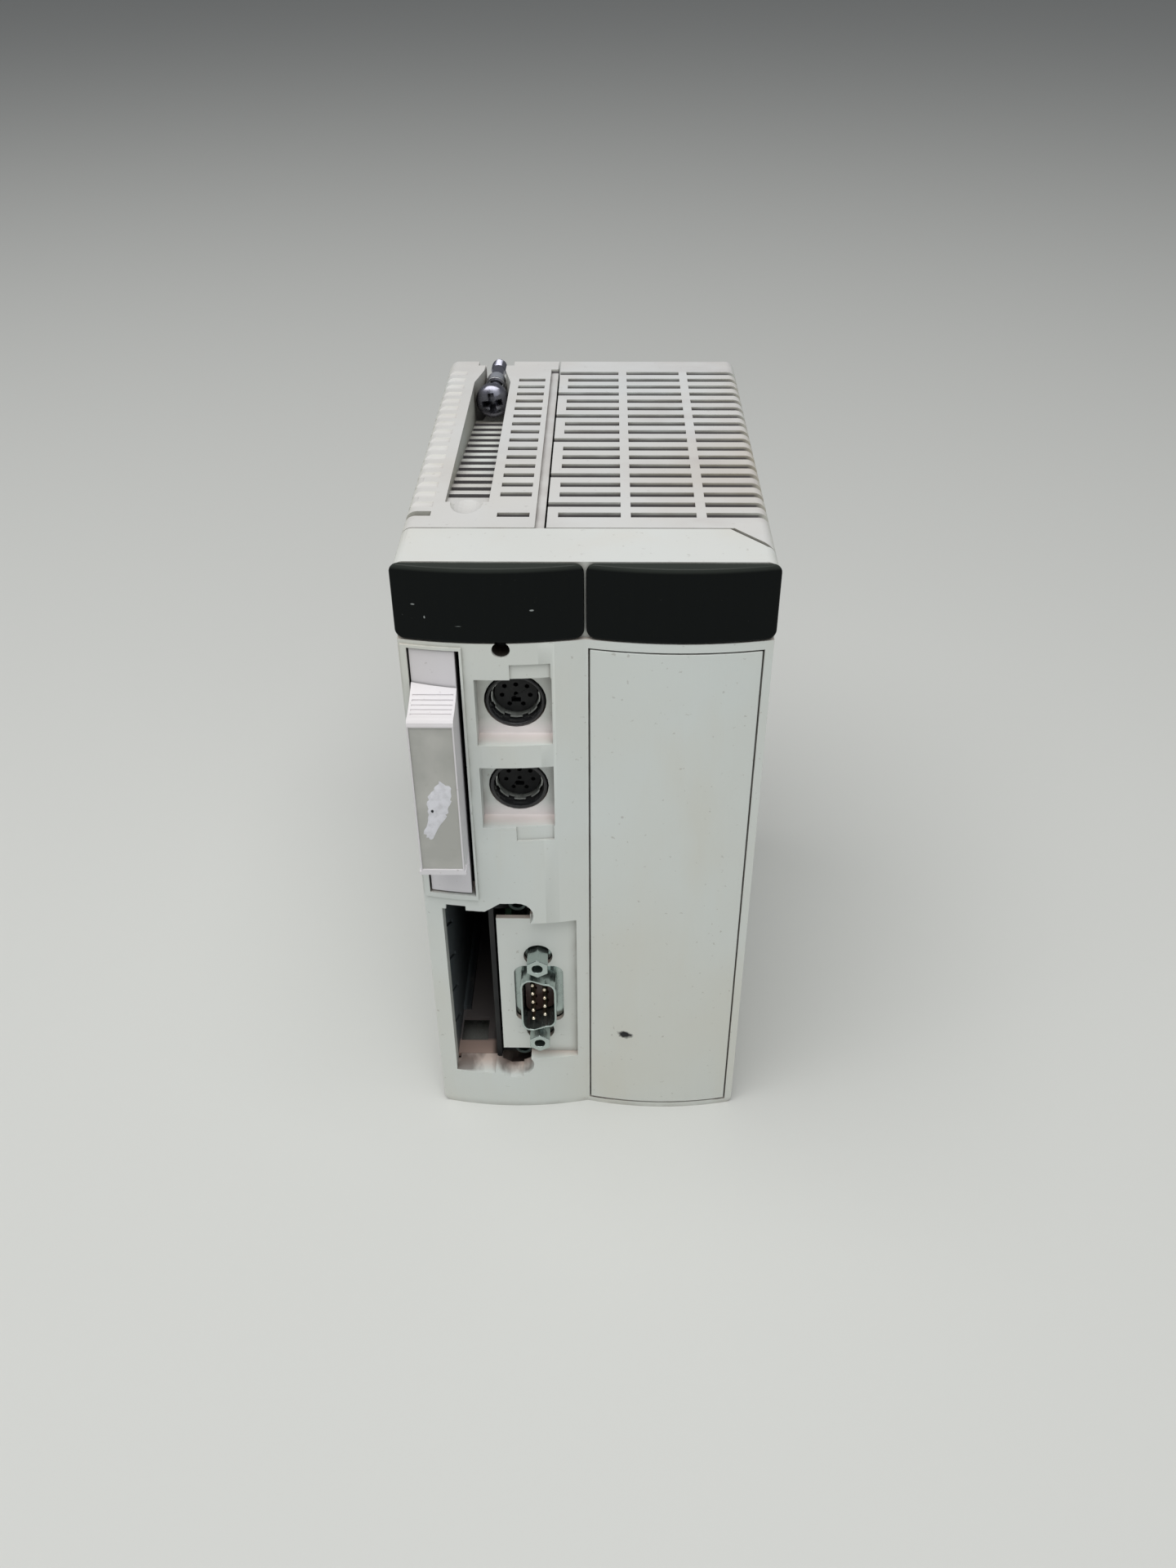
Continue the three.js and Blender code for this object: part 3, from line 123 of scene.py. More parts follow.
class Finish:
    """A procedural material that is built up layer by layer on one shader."""

    def __init__(self, name, roughness, metallic=0.0, specular=0.5):
        self.material = bpy.data.materials.new(name)
        self.material.use_nodes = True
        self.tree = self.material.node_tree
        self.shader = self.tree.nodes["Principled BSDF"]
        self.shader.inputs["Roughness"].default_value = roughness
        self.shader.inputs["Metallic"].default_value = metallic
        self.shader.inputs["Specular IOR Level"].default_value = specular
        self.place = self.new("ShaderNodeTexCoord").outputs["Object"]
        self.normal = None

    def new(self, kind, **settings):
        node = self.tree.nodes.new(kind)
        for key, value in settings.items():
            setattr(node, key, value)
        return node

    def link(self, source, target):
        if isinstance(source, bpy.types.NodeSocket):
            self.tree.links.new(source, target)
        else:
            target.default_value = source

    def stretched(self, scale):
        mapping = self.new("ShaderNodeMapping")
        mapping.inputs["Scale"].default_value = scale
        self.link(self.place, mapping.inputs["Vector"])
        return mapping.outputs["Vector"]

    def noise(self, scale, detail=3, stretch=(1, 1, 1), low=0.0, high=1.0):
        """Cloudy noise with this many lumps a metre, spread so that low..high becomes 0..1."""
        texture = self.new("ShaderNodeTexNoise")
        texture.inputs["Scale"].default_value = scale
        texture.inputs["Detail"].default_value = detail
        self.link(self.stretched(stretch), texture.inputs["Vector"])
        return self.span(texture.outputs["Fac"], low, high)

    def span(self, value, low, high, start=0.0, end=1.0):
        """A value carried from low..high to start..end, and held at the ends."""
        if (low, high, start, end) == (0.0, 1.0, 0.0, 1.0):
            return value
        step = self.new("ShaderNodeMapRange", clamp=True)
        self.link(value, step.inputs["Value"])
        step.inputs["From Min"].default_value = low
        step.inputs["From Max"].default_value = high
        step.inputs["To Min"].default_value = start
        step.inputs["To Max"].default_value = end
        return step.outputs["Result"]

    def maths(self, operation, first, second=0.0):
        node = self.new("ShaderNodeMath", operation=operation)
        self.link(first, node.inputs[0])
        self.link(second, node.inputs[1])
        return node.outputs["Value"]

    def axis(self, name):
        """One of the three measures of a place on the module, X, Y or Z."""
        split = self.new("ShaderNodeSeparateXYZ")
        self.link(self.place, split.inputs["Vector"])
        return split.outputs[name]

    def corners(self, reach, low=0.35, high=0.95):
        """1 in crevices and inner corners within this reach, 0 on open faces."""
        shade = self.new("ShaderNodeAmbientOcclusion", samples=6)
        shade.inputs["Distance"].default_value = reach
        return self.span(shade.outputs["AO"], low, high, 1.0, 0.0)

    def spot(self, centre, size, ragged=0.0, soft=0.25):
        """1 inside an ellipsoid patch, with a ragged rim."""
        away = self.new("ShaderNodeVectorMath", operation="SUBTRACT")
        self.link(self.place, away.inputs[0])
        away.inputs[1].default_value = centre
        shrink = self.new("ShaderNodeVectorMath", operation="DIVIDE")
        self.link(away.outputs["Vector"], shrink.inputs[0])
        shrink.inputs[1].default_value = size
        length = self.new("ShaderNodeVectorMath", operation="LENGTH")
        self.link(shrink.outputs["Vector"], length.inputs[0])
        reach = length.outputs["Value"]
        if ragged:
            wobble = self.noise(1.6 / max(size), 4)
            reach = self.maths("ADD", reach, self.span(wobble, 0.3, 0.7, -ragged, ragged))
        return self.span(reach, 1 - soft, 1 + soft, 1.0, 0.0)

    def colour(self, base):
        self.now = base
        self.link(base, self.shader.inputs["Base Color"])

    def layer(self, mask, colour, amount=1.0):
        """Lays a colour over what is there, as far as the mask says."""
        mix = self.new("ShaderNodeMix", data_type="RGBA")
        self.link(self.maths("MULTIPLY", mask, amount), mix.inputs["Factor"])
        self.link(self.now, mix.inputs[6])
        self.link(colour, mix.inputs[7])
        self.now = mix.outputs[2]
        self.link(self.now, self.shader.inputs["Base Color"])

    def sheen(self, mask, rough, smooth):
        """Roughness that wanders between smooth, where the mask is 0, and rough."""
        self.link(self.span(mask, 0.0, 1.0, smooth, rough), self.shader.inputs["Roughness"])

    def relief(self, height, depth, strength=1.0):
        """Adds fine bumps of this depth on top of the ones already there."""
        bump = self.new("ShaderNodeBump")
        bump.inputs["Distance"].default_value = depth
        bump.inputs["Strength"].default_value = strength
        self.link(height, bump.inputs["Height"])
        if self.normal:
            self.link(self.normal, bump.inputs["Normal"])
        self.normal = bump.outputs["Normal"]
        self.link(self.normal, self.shader.inputs["Normal"])


def moulded_plastic(name, tint, aged, grime=0.5, crevice=2.5 * MM, gap_shade=0.6):
    """Matt moulded housing plastic: fine grain, patchy yellowing, dirt in the corners, painted shade in
    the deep hollows and narrow gaps.
    """
    finish = Finish(name, 0.55, specular=0.35)
    finish.colour(tint)
    finish.layer(finish.noise(14, 3, low=0.38, high=0.7), aged, 0.55)
    finish.layer(finish.noise(70, 4, stretch=(1, 1, 0.25), low=0.52, high=0.78), aged, 0.35)
    dirt = finish.maths("MULTIPLY", finish.corners(crevice), finish.noise(160, 4, low=0.25, high=0.6))
    finish.layer(dirt, linear(96, 80, 62), grime)
    # Hardly any light reaches the deep hollows behind the slots.
    finish.layer(finish.corners(24 * MM, 0.02, 0.24), linear(40, 38, 38), 0.94)
    # Painted shade: narrow gaps and seams are painted dark.
    finish.layer(finish.corners(0.9 * MM, 0.08, 0.5), linear(58, 54, 50), gap_shade)
    specks = finish.noise(900, 2, low=0.7, high=0.76)
    finish.layer(specks, linear(120, 108, 92), 0.3)
    finish.sheen(finish.noise(45, 4, low=0.35, high=0.65), 0.62, 0.46)
    finish.relief(finish.noise(2600, 2), 0.02 * MM, 0.35)
    finish.relief(finish.noise(110, 2), 0.05 * MM, 0.4)
    return finish


def soften(name, radius, segments=2, corner=32):
    """Rounds every edge of a node that is sharper than a corner, in degrees."""
    node = nodes[name]
    weld = node.modifiers.new("weld", "WELD")
    weld.merge_threshold = 0.01 * MM
    flats = node.modifiers.new("flats", "DECIMATE")
    flats.decimate_type = "DISSOLVE"
    flats.angle_limit = math.radians(0.6)
    edges = node.modifiers.new("edges", "BEVEL")
    edges.width = radius
    edges.segments = segments
    edges.limit_method = "ANGLE"
    edges.angle_limit = math.radians(corner)
    edges.harden_normals = True
    return node


def coat(finish, *names):
    """Gives nodes this finish and nothing else."""
    for name in names:
        nodes[name].data.materials.clear()
        nodes[name].data.materials.append(finish.material)


CASE_GREY = linear(214, 219, 216)
CASE_AGED = linear(208, 203, 188)
front_plastic = moulded_plastic("front_plastic", CASE_GREY, CASE_AGED, 0.5, 2.2 * MM, 0.4)
front_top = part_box("front_bezel")[1].z
# Dust has turned the upward faces of the recesses and of the card bay a dull pink.
inside_front = front_plastic.span(front_plastic.axis("Y"), corner_y - 1.2 * MM, corner_y + 2.6 * MM)
below_lens = front_plastic.span(front_plastic.axis("Z"), front_top - 12 * MM, front_top - 17 * MM)
facing = front_plastic.new("ShaderNodeSeparateXYZ")
front_plastic.link(front_plastic.new("ShaderNodeNewGeometry").outputs["Normal"], facing.inputs["Vector"])
dust_catching = front_plastic.span(facing.outputs["Z"], 0.1, 0.7, 0.06, 1.0)
dusty = front_plastic.maths("MULTIPLY", inside_front, dust_catching)
front_plastic.layer(front_plastic.maths("MULTIPLY", dusty, below_lens), linear(214, 190, 178), 0.75)
# The crown over the windows is painted greyer than the front, a painted shade, and soot lies on the lip of
# the card bay.
crown_shade = front_plastic.maths(
    "MULTIPLY",
    front_plastic.span(facing.outputs["Z"], 0.5, 0.95),
    front_plastic.span(front_plastic.axis("Z"), front_top - 2 * MM, front_top - 0.5 * MM),
)
front_plastic.layer(crown_shade, linear(192, 190, 192), 0.35)
in_bay = front_plastic.span(front_plastic.axis("Z"), 16 * MM, 11 * MM)
behind_lip = front_plastic.span(front_plastic.axis("Y"), corner_y - 1.8 * MM, corner_y - 0.7 * MM)
soot = front_plastic.noise(150, 4, stretch=(1, 0.5, 1), low=0.4, high=0.56)
for mask in (in_bay, behind_lip, front_plastic.span(facing.outputs["Z"], 0.1, 0.6)):
    soot = front_plastic.maths("MULTIPLY", soot, mask)
front_plastic.layer(soot, linear(80, 66, 62), 0.9)
# The two socket recesses are light inside, brightest low down, where the day falls straight on them.
LIT_SIZE = (9.5 * MM, 8 * MM, 4.6 * MM)
LIT_BEHIND, LIT_BELOW = 4 * MM, 2.2 * MM
for port in ("upper_port_body", "lower_port_body"):
    socket_low, socket_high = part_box(port)
    recess_x = (socket_low.x + socket_high.x) / 2
    lit_middle = (recess_x, corner_y + LIT_BEHIND, socket_low.z - LIT_BELOW)
    lit_patch = front_plastic.spot(lit_middle, LIT_SIZE, soft=0.35)
    lit_patch = front_plastic.maths("MULTIPLY", lit_patch, inside_front)
    front_plastic.layer(lit_patch, linear(246, 240, 240), 0.85)
# The wall of the reset hole is painted dark brown, a painted shade inside the hole.
button_low, button_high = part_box("reset_button")
hole_x, hole_z = (button_low.x + button_high.x) / 2, (button_low.z + button_high.z) / 2
HOLE_SIZE = (2.6 * MM, 9 * MM, 2.6 * MM)
hole_shade = front_plastic.maths(
    "MULTIPLY",
    front_plastic.spot((hole_x, corner_y, hole_z), HOLE_SIZE, soft=0.1),
    front_plastic.span(front_plastic.axis("Y"), corner_y - 1.5 * MM, corner_y - 1.1 * MM),
)
front_plastic.layer(hole_shade, linear(34, 26, 20), 0.95)
coat(front_plastic, "front_bezel")
soften("front_bezel", 0.3 * MM)

# ---------------------------------------------------------------- case halves
# Two trays of the same plastic that meet along one seam and carry the ventilation slots, the ribs
# of the left edge and the trough for the screwdriver. Dust has settled round the slots.
case_plastic = moulded_plastic("case_plastic", CASE_GREY, CASE_AGED, 0.75, 4 * MM)
top_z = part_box("right_case")[1].z
on_top = case_plastic.span(case_plastic.axis("Z"), top_z - 9 * MM, top_z - 1 * MM)
towards_right = case_plastic.span(case_plastic.axis("X"), 5 * MM, 34 * MM, 0.25, 1.0)
stain = case_plastic.maths("MULTIPLY", case_plastic.noise(38, 4, low=0.42, high=0.68), towards_right)
case_plastic.layer(case_plastic.maths("MULTIPLY", stain, on_top), linear(178, 160, 130), 0.5)

# The top is painted greyer than the sides, a painted shade, with grey smears along it. The walls of the
# slots and the slats of the trough that face the front or the rear are painted dark, a painted shade, but
# not the plain borders beside them.
turning = case_plastic.new("ShaderNodeSeparateXYZ")
case_plastic.link(case_plastic.new("ShaderNodeNewGeometry").outputs["Normal"], turning.inputs["Vector"])
facing_up = case_plastic.span(turning.outputs["Z"], 0.5, 0.9)
smear = case_plastic.noise(50, 4, stretch=(1, 3, 1), low=0.5, high=0.7)
for mask in (facing_up, on_top, towards_right):
    smear = case_plastic.maths("MULTIPLY", smear, mask)
case_plastic.layer(smear, linear(150, 136, 130), 0.35)
# Painted shade: the upward faces of the top are painted greyer.
case_plastic.layer(case_plastic.maths("MULTIPLY", facing_up, on_top), linear(188, 184, 190), 0.42)
# Painted shade: the front- and rear-facing walls of the slots and trough slats are painted dark grey.
slot_wall_shade = case_plastic.span(case_plastic.maths("ABSOLUTE", turning.outputs["Y"]), 0.45, 0.75)
rear_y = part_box("right_case")[1].y
SLOT_SHADE_BOUNDS = (
    ("Z", top_z - 0.25 * MM, top_z - 0.6 * MM),
    ("Z", top_z - 20 * MM, top_z - 18 * MM),
    ("X", -31.4 * MM, -30.8 * MM),
    ("X", 35.4 * MM, 34.2 * MM),
    ("Y", rear_y - 7.2 * MM, rear_y - 7.8 * MM),
)
for name, unshaded, shaded in SLOT_SHADE_BOUNDS:
    slot_wall_shade = case_plastic.maths("MULTIPLY", slot_wall_shade, case_plastic.span(case_plastic.axis(name), unshaded, shaded))
case_plastic.layer(slot_wall_shade, linear(92, 88, 92), 0.9)
coat(case_plastic, "left_case", "right_case")
soften("left_case", 0.25 * MM)
soften("right_case", 0.3 * MM)

# ---------------------------------------------------------------- case screws
# Four pan-head tapping screws of zinc-plated steel with a cross recess. They stand in counterbores
# of the rear face and hold the two halves together.
def plated_metal(name, colour, roughness=0.3, tarnish=linear(70, 66, 58), dirt=0.4, grain=0.4):
    """Plated steel or zinc with faint rolling marks and dull tarnish in the corners."""
    finish = Finish(name, roughness, metallic=0.95)
    finish.colour(colour)
    finish.layer(finish.noise(110, 3, low=0.4, high=0.75), tarnish, dirt)
    finish.layer(finish.corners(2 * MM, 0.1, 0.9), tarnish, 0.45)
    marks = finish.noise(700, 3, stretch=(1, 0.15, 1), low=0.35, high=0.65)
    finish.sheen(marks, roughness + 0.12, roughness - 0.06)
    finish.relief(finish.noise(1600, 2, stretch=(1, 0.1, 1)), 0.01 * MM, grain)
    return finish


zinc = plated_metal("zinc_plate", linear(150, 150, 158), 0.3, linear(84, 82, 84), 0.35)
CASE_SCREWS = ("case_screw_1", "case_screw_2", "case_screw_3", "case_screw_4")
coat(zinc, *CASE_SCREWS)
for name in CASE_SCREWS:
    soften(name, 0.12 * MM)

# ---------------------------------------------------------------- windows, display and lamps
# Two smoked windows of glossy acrylic snap over the lamps, and meet at a narrow joint in the middle.
# Behind the left one is a black block with five lamp bores and a clear light strip.
LENS_BLACK = linear(9, 13, 13)
window_plastic = Finish("window_plastic", 0.1, specular=0.1)
window_plastic.colour(LENS_BLACK)
lens_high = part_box("left_lens")[1]
# Middle and half size of each scratch on the left window, across and up, in millimetres.
SCRATCHES = [
    ((-32.77, 143.45), (0.34, 0.12)),
    ((-30.65, 140.83), (0.14, 0.26)),
    ((-10.15, 142.61), (0.34, 0.12)),
    ((-24.1, 139.2), (0.7, 0.05)),
]
# Painted reflection: the crown of each window is painted a lighter grey.
crown_reflection = window_plastic.span(window_plastic.axis("Z"), lens_high.z - 1.1 * MM, lens_high.z - 0.5 * MM)
window_plastic.layer(crown_reflection, linear(54, 58, 54), 0.8)
for (x, z), (wide, tall) in SCRATCHES:
    scratch_size = (wide * MM, 3 * MM, tall * MM)
    mark = window_plastic.spot((x * MM, corner_y - 1.5 * MM, z * MM), scratch_size, ragged=0.5)
    window_plastic.layer(mark, linear(190, 196, 194), 0.6)
window_plastic.layer(window_plastic.noise(1500, 2, low=0.76, high=0.82), linear(96, 98, 95), 0.3)
window_plastic.sheen(window_plastic.noise(60, 4, stretch=(1, 1, 3), low=0.4, high=0.7), 0.2, 0.07)
window_plastic.relief(window_plastic.noise(35, 2), 0.04 * MM, 0.3)
coat(window_plastic, "left_lens", "right_lens")
soften("left_lens", 0.9 * MM, 4, 25)
soften("right_lens", 0.9 * MM, 4, 25)


def dull_plastic(name, colour, roughness=0.45, dust=0.25):
    """Dark moulded plastic with a little dust on it."""
    finish = Finish(name, roughness, specular=0.4)
    finish.colour(colour)
    finish.layer(finish.noise(240, 4, low=0.5, high=0.75), linear(120, 116, 108), dust)
    finish.sheen(finish.noise(90, 3, low=0.35, high=0.65), roughness + 0.12, roughness - 0.1)
    finish.relief(finish.noise(1900, 2), 0.015 * MM, 0.35)
    return finish


dark_plastic = dull_plastic("dark_plastic", linear(52, 56, 58))
lamp_plastic = Finish("lamp_plastic", 0.25)
lamp_plastic.colour(linear(120, 138, 92))
lamp_plastic.layer(lamp_plastic.noise(600, 3, low=0.4, high=0.7), linear(150, 160, 120), 0.5)
lamp_plastic.shader.inputs["Transmission Weight"].default_value = 0.3
lamp_plastic.relief(lamp_plastic.noise(900, 2), 0.01 * MM, 0.3)
coat(dark_plastic, "display_block")
coat(lamp_plastic, "lamp_strip")
soften("display_block", 0.2 * MM)
soften("lamp_strip", 0.15 * MM)

# ---------------------------------------------------------------- blank panel
# A slightly arched plate of the case plastic that closes the unused right slot. It drops into a
# shallow seat, and the joint shows as a fine line all round. One spot of ink has been left on it.
panel_plastic = moulded_plastic("panel_plastic", CASE_GREY, CASE_AGED, 0.5)
INK_PLACE = (9 * MM, corner_y - 1.5 * MM, 26 * MM)
INK_SIZE = (1.6 * MM, 3 * MM, 1.1 * MM)
panel_plastic.layer(panel_plastic.spot(INK_PLACE, INK_SIZE, ragged=0.35), linear(20, 22, 26))
coat(panel_plastic, "blank_panel")
soften("blank_panel", 0.2 * MM)

BULGE = 2 * MM
BAY_WIDTH = 36.5 * MM
JOINT, JOINT_NEAR, JOINT_FAR, UNDER_PLATE = 0.35 * MM, 0.25 * MM, 0.7 * MM, 1.35 * MM
ARCH_STEPS = 24


def front_arch(x):
    """y of the arched front at a place across the module."""
    return corner_y - BULGE * (1 - ((abs(x) - BAY_WIDTH / 2) / (BAY_WIDTH / 2)) ** 2)


def mesh_piece(name, body, finish, sharp=30):
    """An empty mesh object that rides on a body, with its mesh to be filled by bmesh."""
    piece = bpy.data.objects.new(name, bpy.data.meshes.new(name))
    bpy.context.scene.collection.objects.link(piece)
    piece.data.materials.append(finish.material)
    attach(piece, body)
    piece["sharp"] = sharp
    return piece


def fill(piece, made):
    """Puts a bmesh into a piece, with smooth faces between the sharper edges."""
    bmesh.ops.recalc_face_normals(made, faces=made.faces)
    made.to_mesh(piece.data)
    made.free()
    piece.data.shade_smooth()
    piece.data.set_sharp_from_angle(angle=math.radians(piece["sharp"]))


JOINT_GREY, JOINT_AGED = linear(186, 188, 184), linear(166, 158, 144)
joint_plastic = moulded_plastic("joint_plastic", JOINT_GREY, JOINT_AGED, 0.4, 2 * MM, 0.25)
panel_joint = mesh_piece("panel_joint", "module", joint_plastic)
panel_low, panel_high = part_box("blank_panel")
joint = bmesh.new()
loops = []
for grow, deep in ((JOINT, JOINT_NEAR), (-JOINT, JOINT_NEAR), (-JOINT, JOINT_FAR), (JOINT, JOINT_FAR)):
    x0, x1 = panel_low.x - grow, panel_high.x + grow
    z0, z1 = panel_low.z - grow, panel_high.z + grow
    across = [x0 + (x1 - x0) * i / ARCH_STEPS for i in range(ARCH_STEPS + 1)]
    path = [(x, z0) for x in across] + [(x, z1) for x in reversed(across)]
    # Under the panel's own edge the strip lies deeper, clear of the plate.
    sunk = deep + (UNDER_PLATE if grow < 0 else 0)
    loops.append([joint.verts.new((x, front_arch(x) + sunk, z)) for x, z in path])
for first, second in zip(loops, loops[1:] + loops[:1]):
    for i in range(len(first)):
        k = (i + 1) % len(first)
        joint.faces.new((first[i], first[k], second[k], second[i]))
fill(panel_joint, joint)

# ---------------------------------------------------------------- round sockets
# Two eight-way round sockets: a glossy black body with a raised ring, a pressed steel shield
# with a notched rim inside it, and a black insert with the contact bores.
socket_black = dull_plastic("socket_black", linear(44, 44, 46), 0.24, 0.12)
insert_black = dull_plastic("insert_black", linear(7, 9, 10), 0.55, 0.02)
shield_steel = plated_metal("shield_steel", linear(186, 190, 186), 0.32, linear(120, 120, 112), 0.3)
shield_steel.shader.inputs["Metallic"].default_value = 0.55
for port in ("upper_port", "lower_port"):
    coat(socket_black, port + "_body")
    coat(shield_steel, port + "_shield")
    coat(insert_black, port + "_insert")
    soften(port + "_body", 0.35 * MM, 3)
    soften(port + "_shield", 0.08 * MM)
    soften(port + "_insert", 0.15 * MM)

# ---------------------------------------------------------------- nine-pin plug
# A drawn steel shell with its flange behind the plate, a dark insulator that carries nine gold-plated
# pins, and two hexagonal jack nuts that the mating plug's screws go into.
plug_tin = plated_metal("plug_tin", linear(184, 196, 192), 0.16, linear(96, 106, 102), 0.08, 0.08)
# Painted shade: the corners and hollows of the tinned parts are painted dark.
plug_tin.layer(plug_tin.corners(1.2 * MM, 0.2, 0.8), linear(40, 46, 44), 0.6)
insulator_brown = dull_plastic("insulator_brown", linear(66, 44, 40), 0.16, 0.05)
gold = Finish("gold_contact", 0.22, metallic=1.0)
gold.colour(linear(250, 238, 218))
gold.layer(gold.noise(900, 3, low=0.45, high=0.75), linear(206, 176, 130), 0.4)
# Painted shade: the contacts are painted dark brown where they stand deep in their plug shell or shroud.
gold.layer(gold.corners(3 * MM, 0.3, 0.9), linear(92, 74, 58), 0.8)
gold.relief(gold.noise(2500, 2), 0.005 * MM, 0.4)
coat(plug_tin, "plug_shell", "jack_nut_upper", "jack_nut_lower")
coat(insulator_brown, "plug_insulator")


def turned(made, rings, sides, centre_x, centre_z):
    """Adds a piece turned round a line along y, from rings of (y, radius or a function of the angle)."""
    previous = None
    for y, radius in rings:
        if radius == 0:
            ring = [made.verts.new((centre_x, y, centre_z))]
        else:
            ring = []
            for i in range(sides):
                angle = 2 * math.pi * i / sides
                reach = radius(angle) if callable(radius) else radius
                x, z = centre_x + reach * math.cos(angle), centre_z + reach * math.sin(angle)
                ring.append(made.verts.new((x, y, z)))
        if previous:
            before, after = len(previous), len(ring)
            for i in range(sides):
                k = (i + 1) % sides
                corners = [previous[i % before], previous[k % before], ring[k % after], ring[i % after]]
                made.faces.new(list(dict.fromkeys(corners)))
        previous = ring


PIN_PITCH, PIN_ROWS, PIN_RADIUS, PIN_SIDES = 2.77 * MM, 2.84 * MM, 0.5 * MM, 14
PIN_SHORT = 0.4 * MM  # the pins end this far in front of the bar that they stand on
plug_low, plug_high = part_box("plug_shell")
pins_low, pins_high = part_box("plug_pins")
plug_x, plug_z = (plug_low.x + plug_high.x) / 2, (plug_low.z + plug_high.z) / 2
pin_end = pins_high.y - PIN_SHORT
NOSE_TURNS = (0, 0.4, 0.8, 1.2, 1.5708)  # from the tip of the pin to its side, in radians
round_nose = [(pins_low.y + PIN_RADIUS * (1 - math.cos(t)), PIN_RADIUS * math.sin(t)) for t in NOSE_TURNS]
contact_pins = mesh_piece("contact_pins", "module", gold, 50)
pins = bmesh.new()
for row, count in enumerate((5, 4)):
    for i in range(count):
        pin_x = plug_x + (row - 0.5) * PIN_ROWS
        pin_z = plug_z + (i - (count - 1) / 2) * PIN_PITCH
        turned(pins, round_nose + [(pin_end, PIN_RADIUS), (pin_end, 0)], PIN_SIDES, pin_x, pin_z)
fill(contact_pins, pins)
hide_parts("plug_pins")
soften("plug_shell", 0.2 * MM, 3)
soften("jack_nut_upper", 0.2 * MM)
soften("jack_nut_lower", 0.2 * MM)
soften("plug_insulator", 0.2 * MM)

# ---------------------------------------------------------------- communication card bay
# A cage of dark moulded plastic for a card that isn't fitted. Two ears hold the round nuts for the
# card's screws, and the header that the card plugs into is at the back.
bay_plastic = dull_plastic("bay_plastic", linear(58, 62, 65), 0.5, 0.3)
header_plastic = dull_plastic("header_plastic", linear(30, 31, 33), 0.5, 0.15)
cage_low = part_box("card_cage")[0]
# Painted light and shade: the left wall and the floor near the mouth are painted light, the front shelf
# lightest, the side by the plug is painted shadow, and the far end is painted dark.
far_end_shade = bay_plastic.span(bay_plastic.axis("Y"), cage_low.y + 12 * MM, cage_low.y + 50 * MM)
right_side_shadow = bay_plastic.span(bay_plastic.axis("X"), cage_low.x + 9.5 * MM, cage_low.x + 10.8 * MM)
lit_floor = bay_plastic.span(bay_plastic.axis("Z"), cage_low.z + 1.6 * MM, cage_low.z + 1.1 * MM)
lit_left_wall = bay_plastic.span(bay_plastic.axis("X"), cage_low.x + 2.2 * MM, cage_low.x + 1.6 * MM)
bay_plastic.layer(lit_left_wall, linear(98, 106, 110), 0.9)
bay_plastic.layer(lit_floor, linear(112, 104, 102), 0.9)
lit_front_shelf = bay_plastic.span(bay_plastic.axis("Y"), cage_low.y + 6.2 * MM, cage_low.y + 5.2 * MM)
bay_plastic.layer(bay_plastic.maths("MULTIPLY", lit_floor, lit_front_shelf), linear(186, 160, 148), 0.9)
bay_plastic.layer(right_side_shadow, linear(16, 17, 18), 0.9)
bay_plastic.layer(far_end_shade, linear(12, 13, 14), 0.85)
coat(bay_plastic, "card_cage")
nut_steel = plated_metal("nut_steel", linear(72, 82, 80), 0.35, linear(36, 40, 38), 0.4)
coat(nut_steel, "card_nut_lower", "card_nut_upper")
coat(header_plastic, "card_cage_header")
soften("card_cage", 0.2 * MM)
soften("card_nut_lower", 0.3 * MM)
soften("card_nut_upper", 0.3 * MM)
soften("card_cage_header", 0.25 * MM)

# ---------------------------------------------------------------- memory card
# A flat card in a steel jacket, which slides in a moulded guide. Its cover plate fills the slot in the
# front, and a hollow handle with a grey label is welded to the plate.
CARD_WHITE, CARD_AGED = linear(222, 220, 224), linear(216, 210, 207)
card_plastic = moulded_plastic("card_plastic", CARD_WHITE, CARD_AGED, 0.12, 2 * MM, 0.04)
jacket = plated_metal("card_jacket", linear(168, 170, 171), 0.32, linear(120, 120, 118), 0.2, 0.15)
# The jacket is two pressed sheets, each with a raised middle field, rolled into a frame of black plastic.
FRAME_EDGE, FIELD_EDGE, PRESS_SLOPE = 2.2 * MM, 7 * MM, 0.7 * MM
card_low, card_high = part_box("memory_card")


def from_rim(name, low, high):
    """How far a place on the card is from its nearer long or short edge."""
    place = jacket.axis(name)
    above_low = jacket.maths("SUBTRACT", place, low)
    below_high = jacket.maths("SUBTRACT", high, place)
    return jacket.maths("MINIMUM", above_low, below_high)


from_ends = from_rim("Y", card_low.y, card_high.y)
from_edge = jacket.maths("MINIMUM", from_ends, from_rim("Z", card_low.z, card_high.z))
frame_line = jacket.span(from_edge, FRAME_EDGE, FRAME_EDGE - 0.2 * MM)
field = jacket.span(from_edge, FIELD_EDGE, FIELD_EDGE + PRESS_SLOPE)
field_slope_shade = jacket.maths("MULTIPLY", field, jacket.maths("SUBTRACT", 1.0, field))
# Painted shade: the slope round each raised field is painted darker.
jacket.layer(jacket.span(field_slope_shade, 0.0, 0.25), linear(84, 85, 86), 0.7)
jacket.layer(frame_line, linear(26, 27, 29), 0.96)
jacket.relief(field, 0.3 * MM)
jacket.relief(jacket.span(from_edge, FRAME_EDGE - 0.2 * MM, FRAME_EDGE + 0.1 * MM), 0.12 * MM)
label_paper = Finish("label_paper", 0.6, specular=0.2)
label_paper.colour(linear(176, 176, 171))
label_paper.layer(label_paper.noise(120, 4, low=0.45, high=0.7), linear(196, 195, 190), 0.6)
label_paper.layer(label_paper.noise(420, 3, low=0.6, high=0.85), linear(150, 148, 140), 0.35)
label_paper.relief(label_paper.noise(1400, 3), 0.01 * MM, 0.5)
label_low, label_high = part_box("card_label")
coat(card_plastic, "card_cover", "card_handle")
coat(jacket, "memory_card")

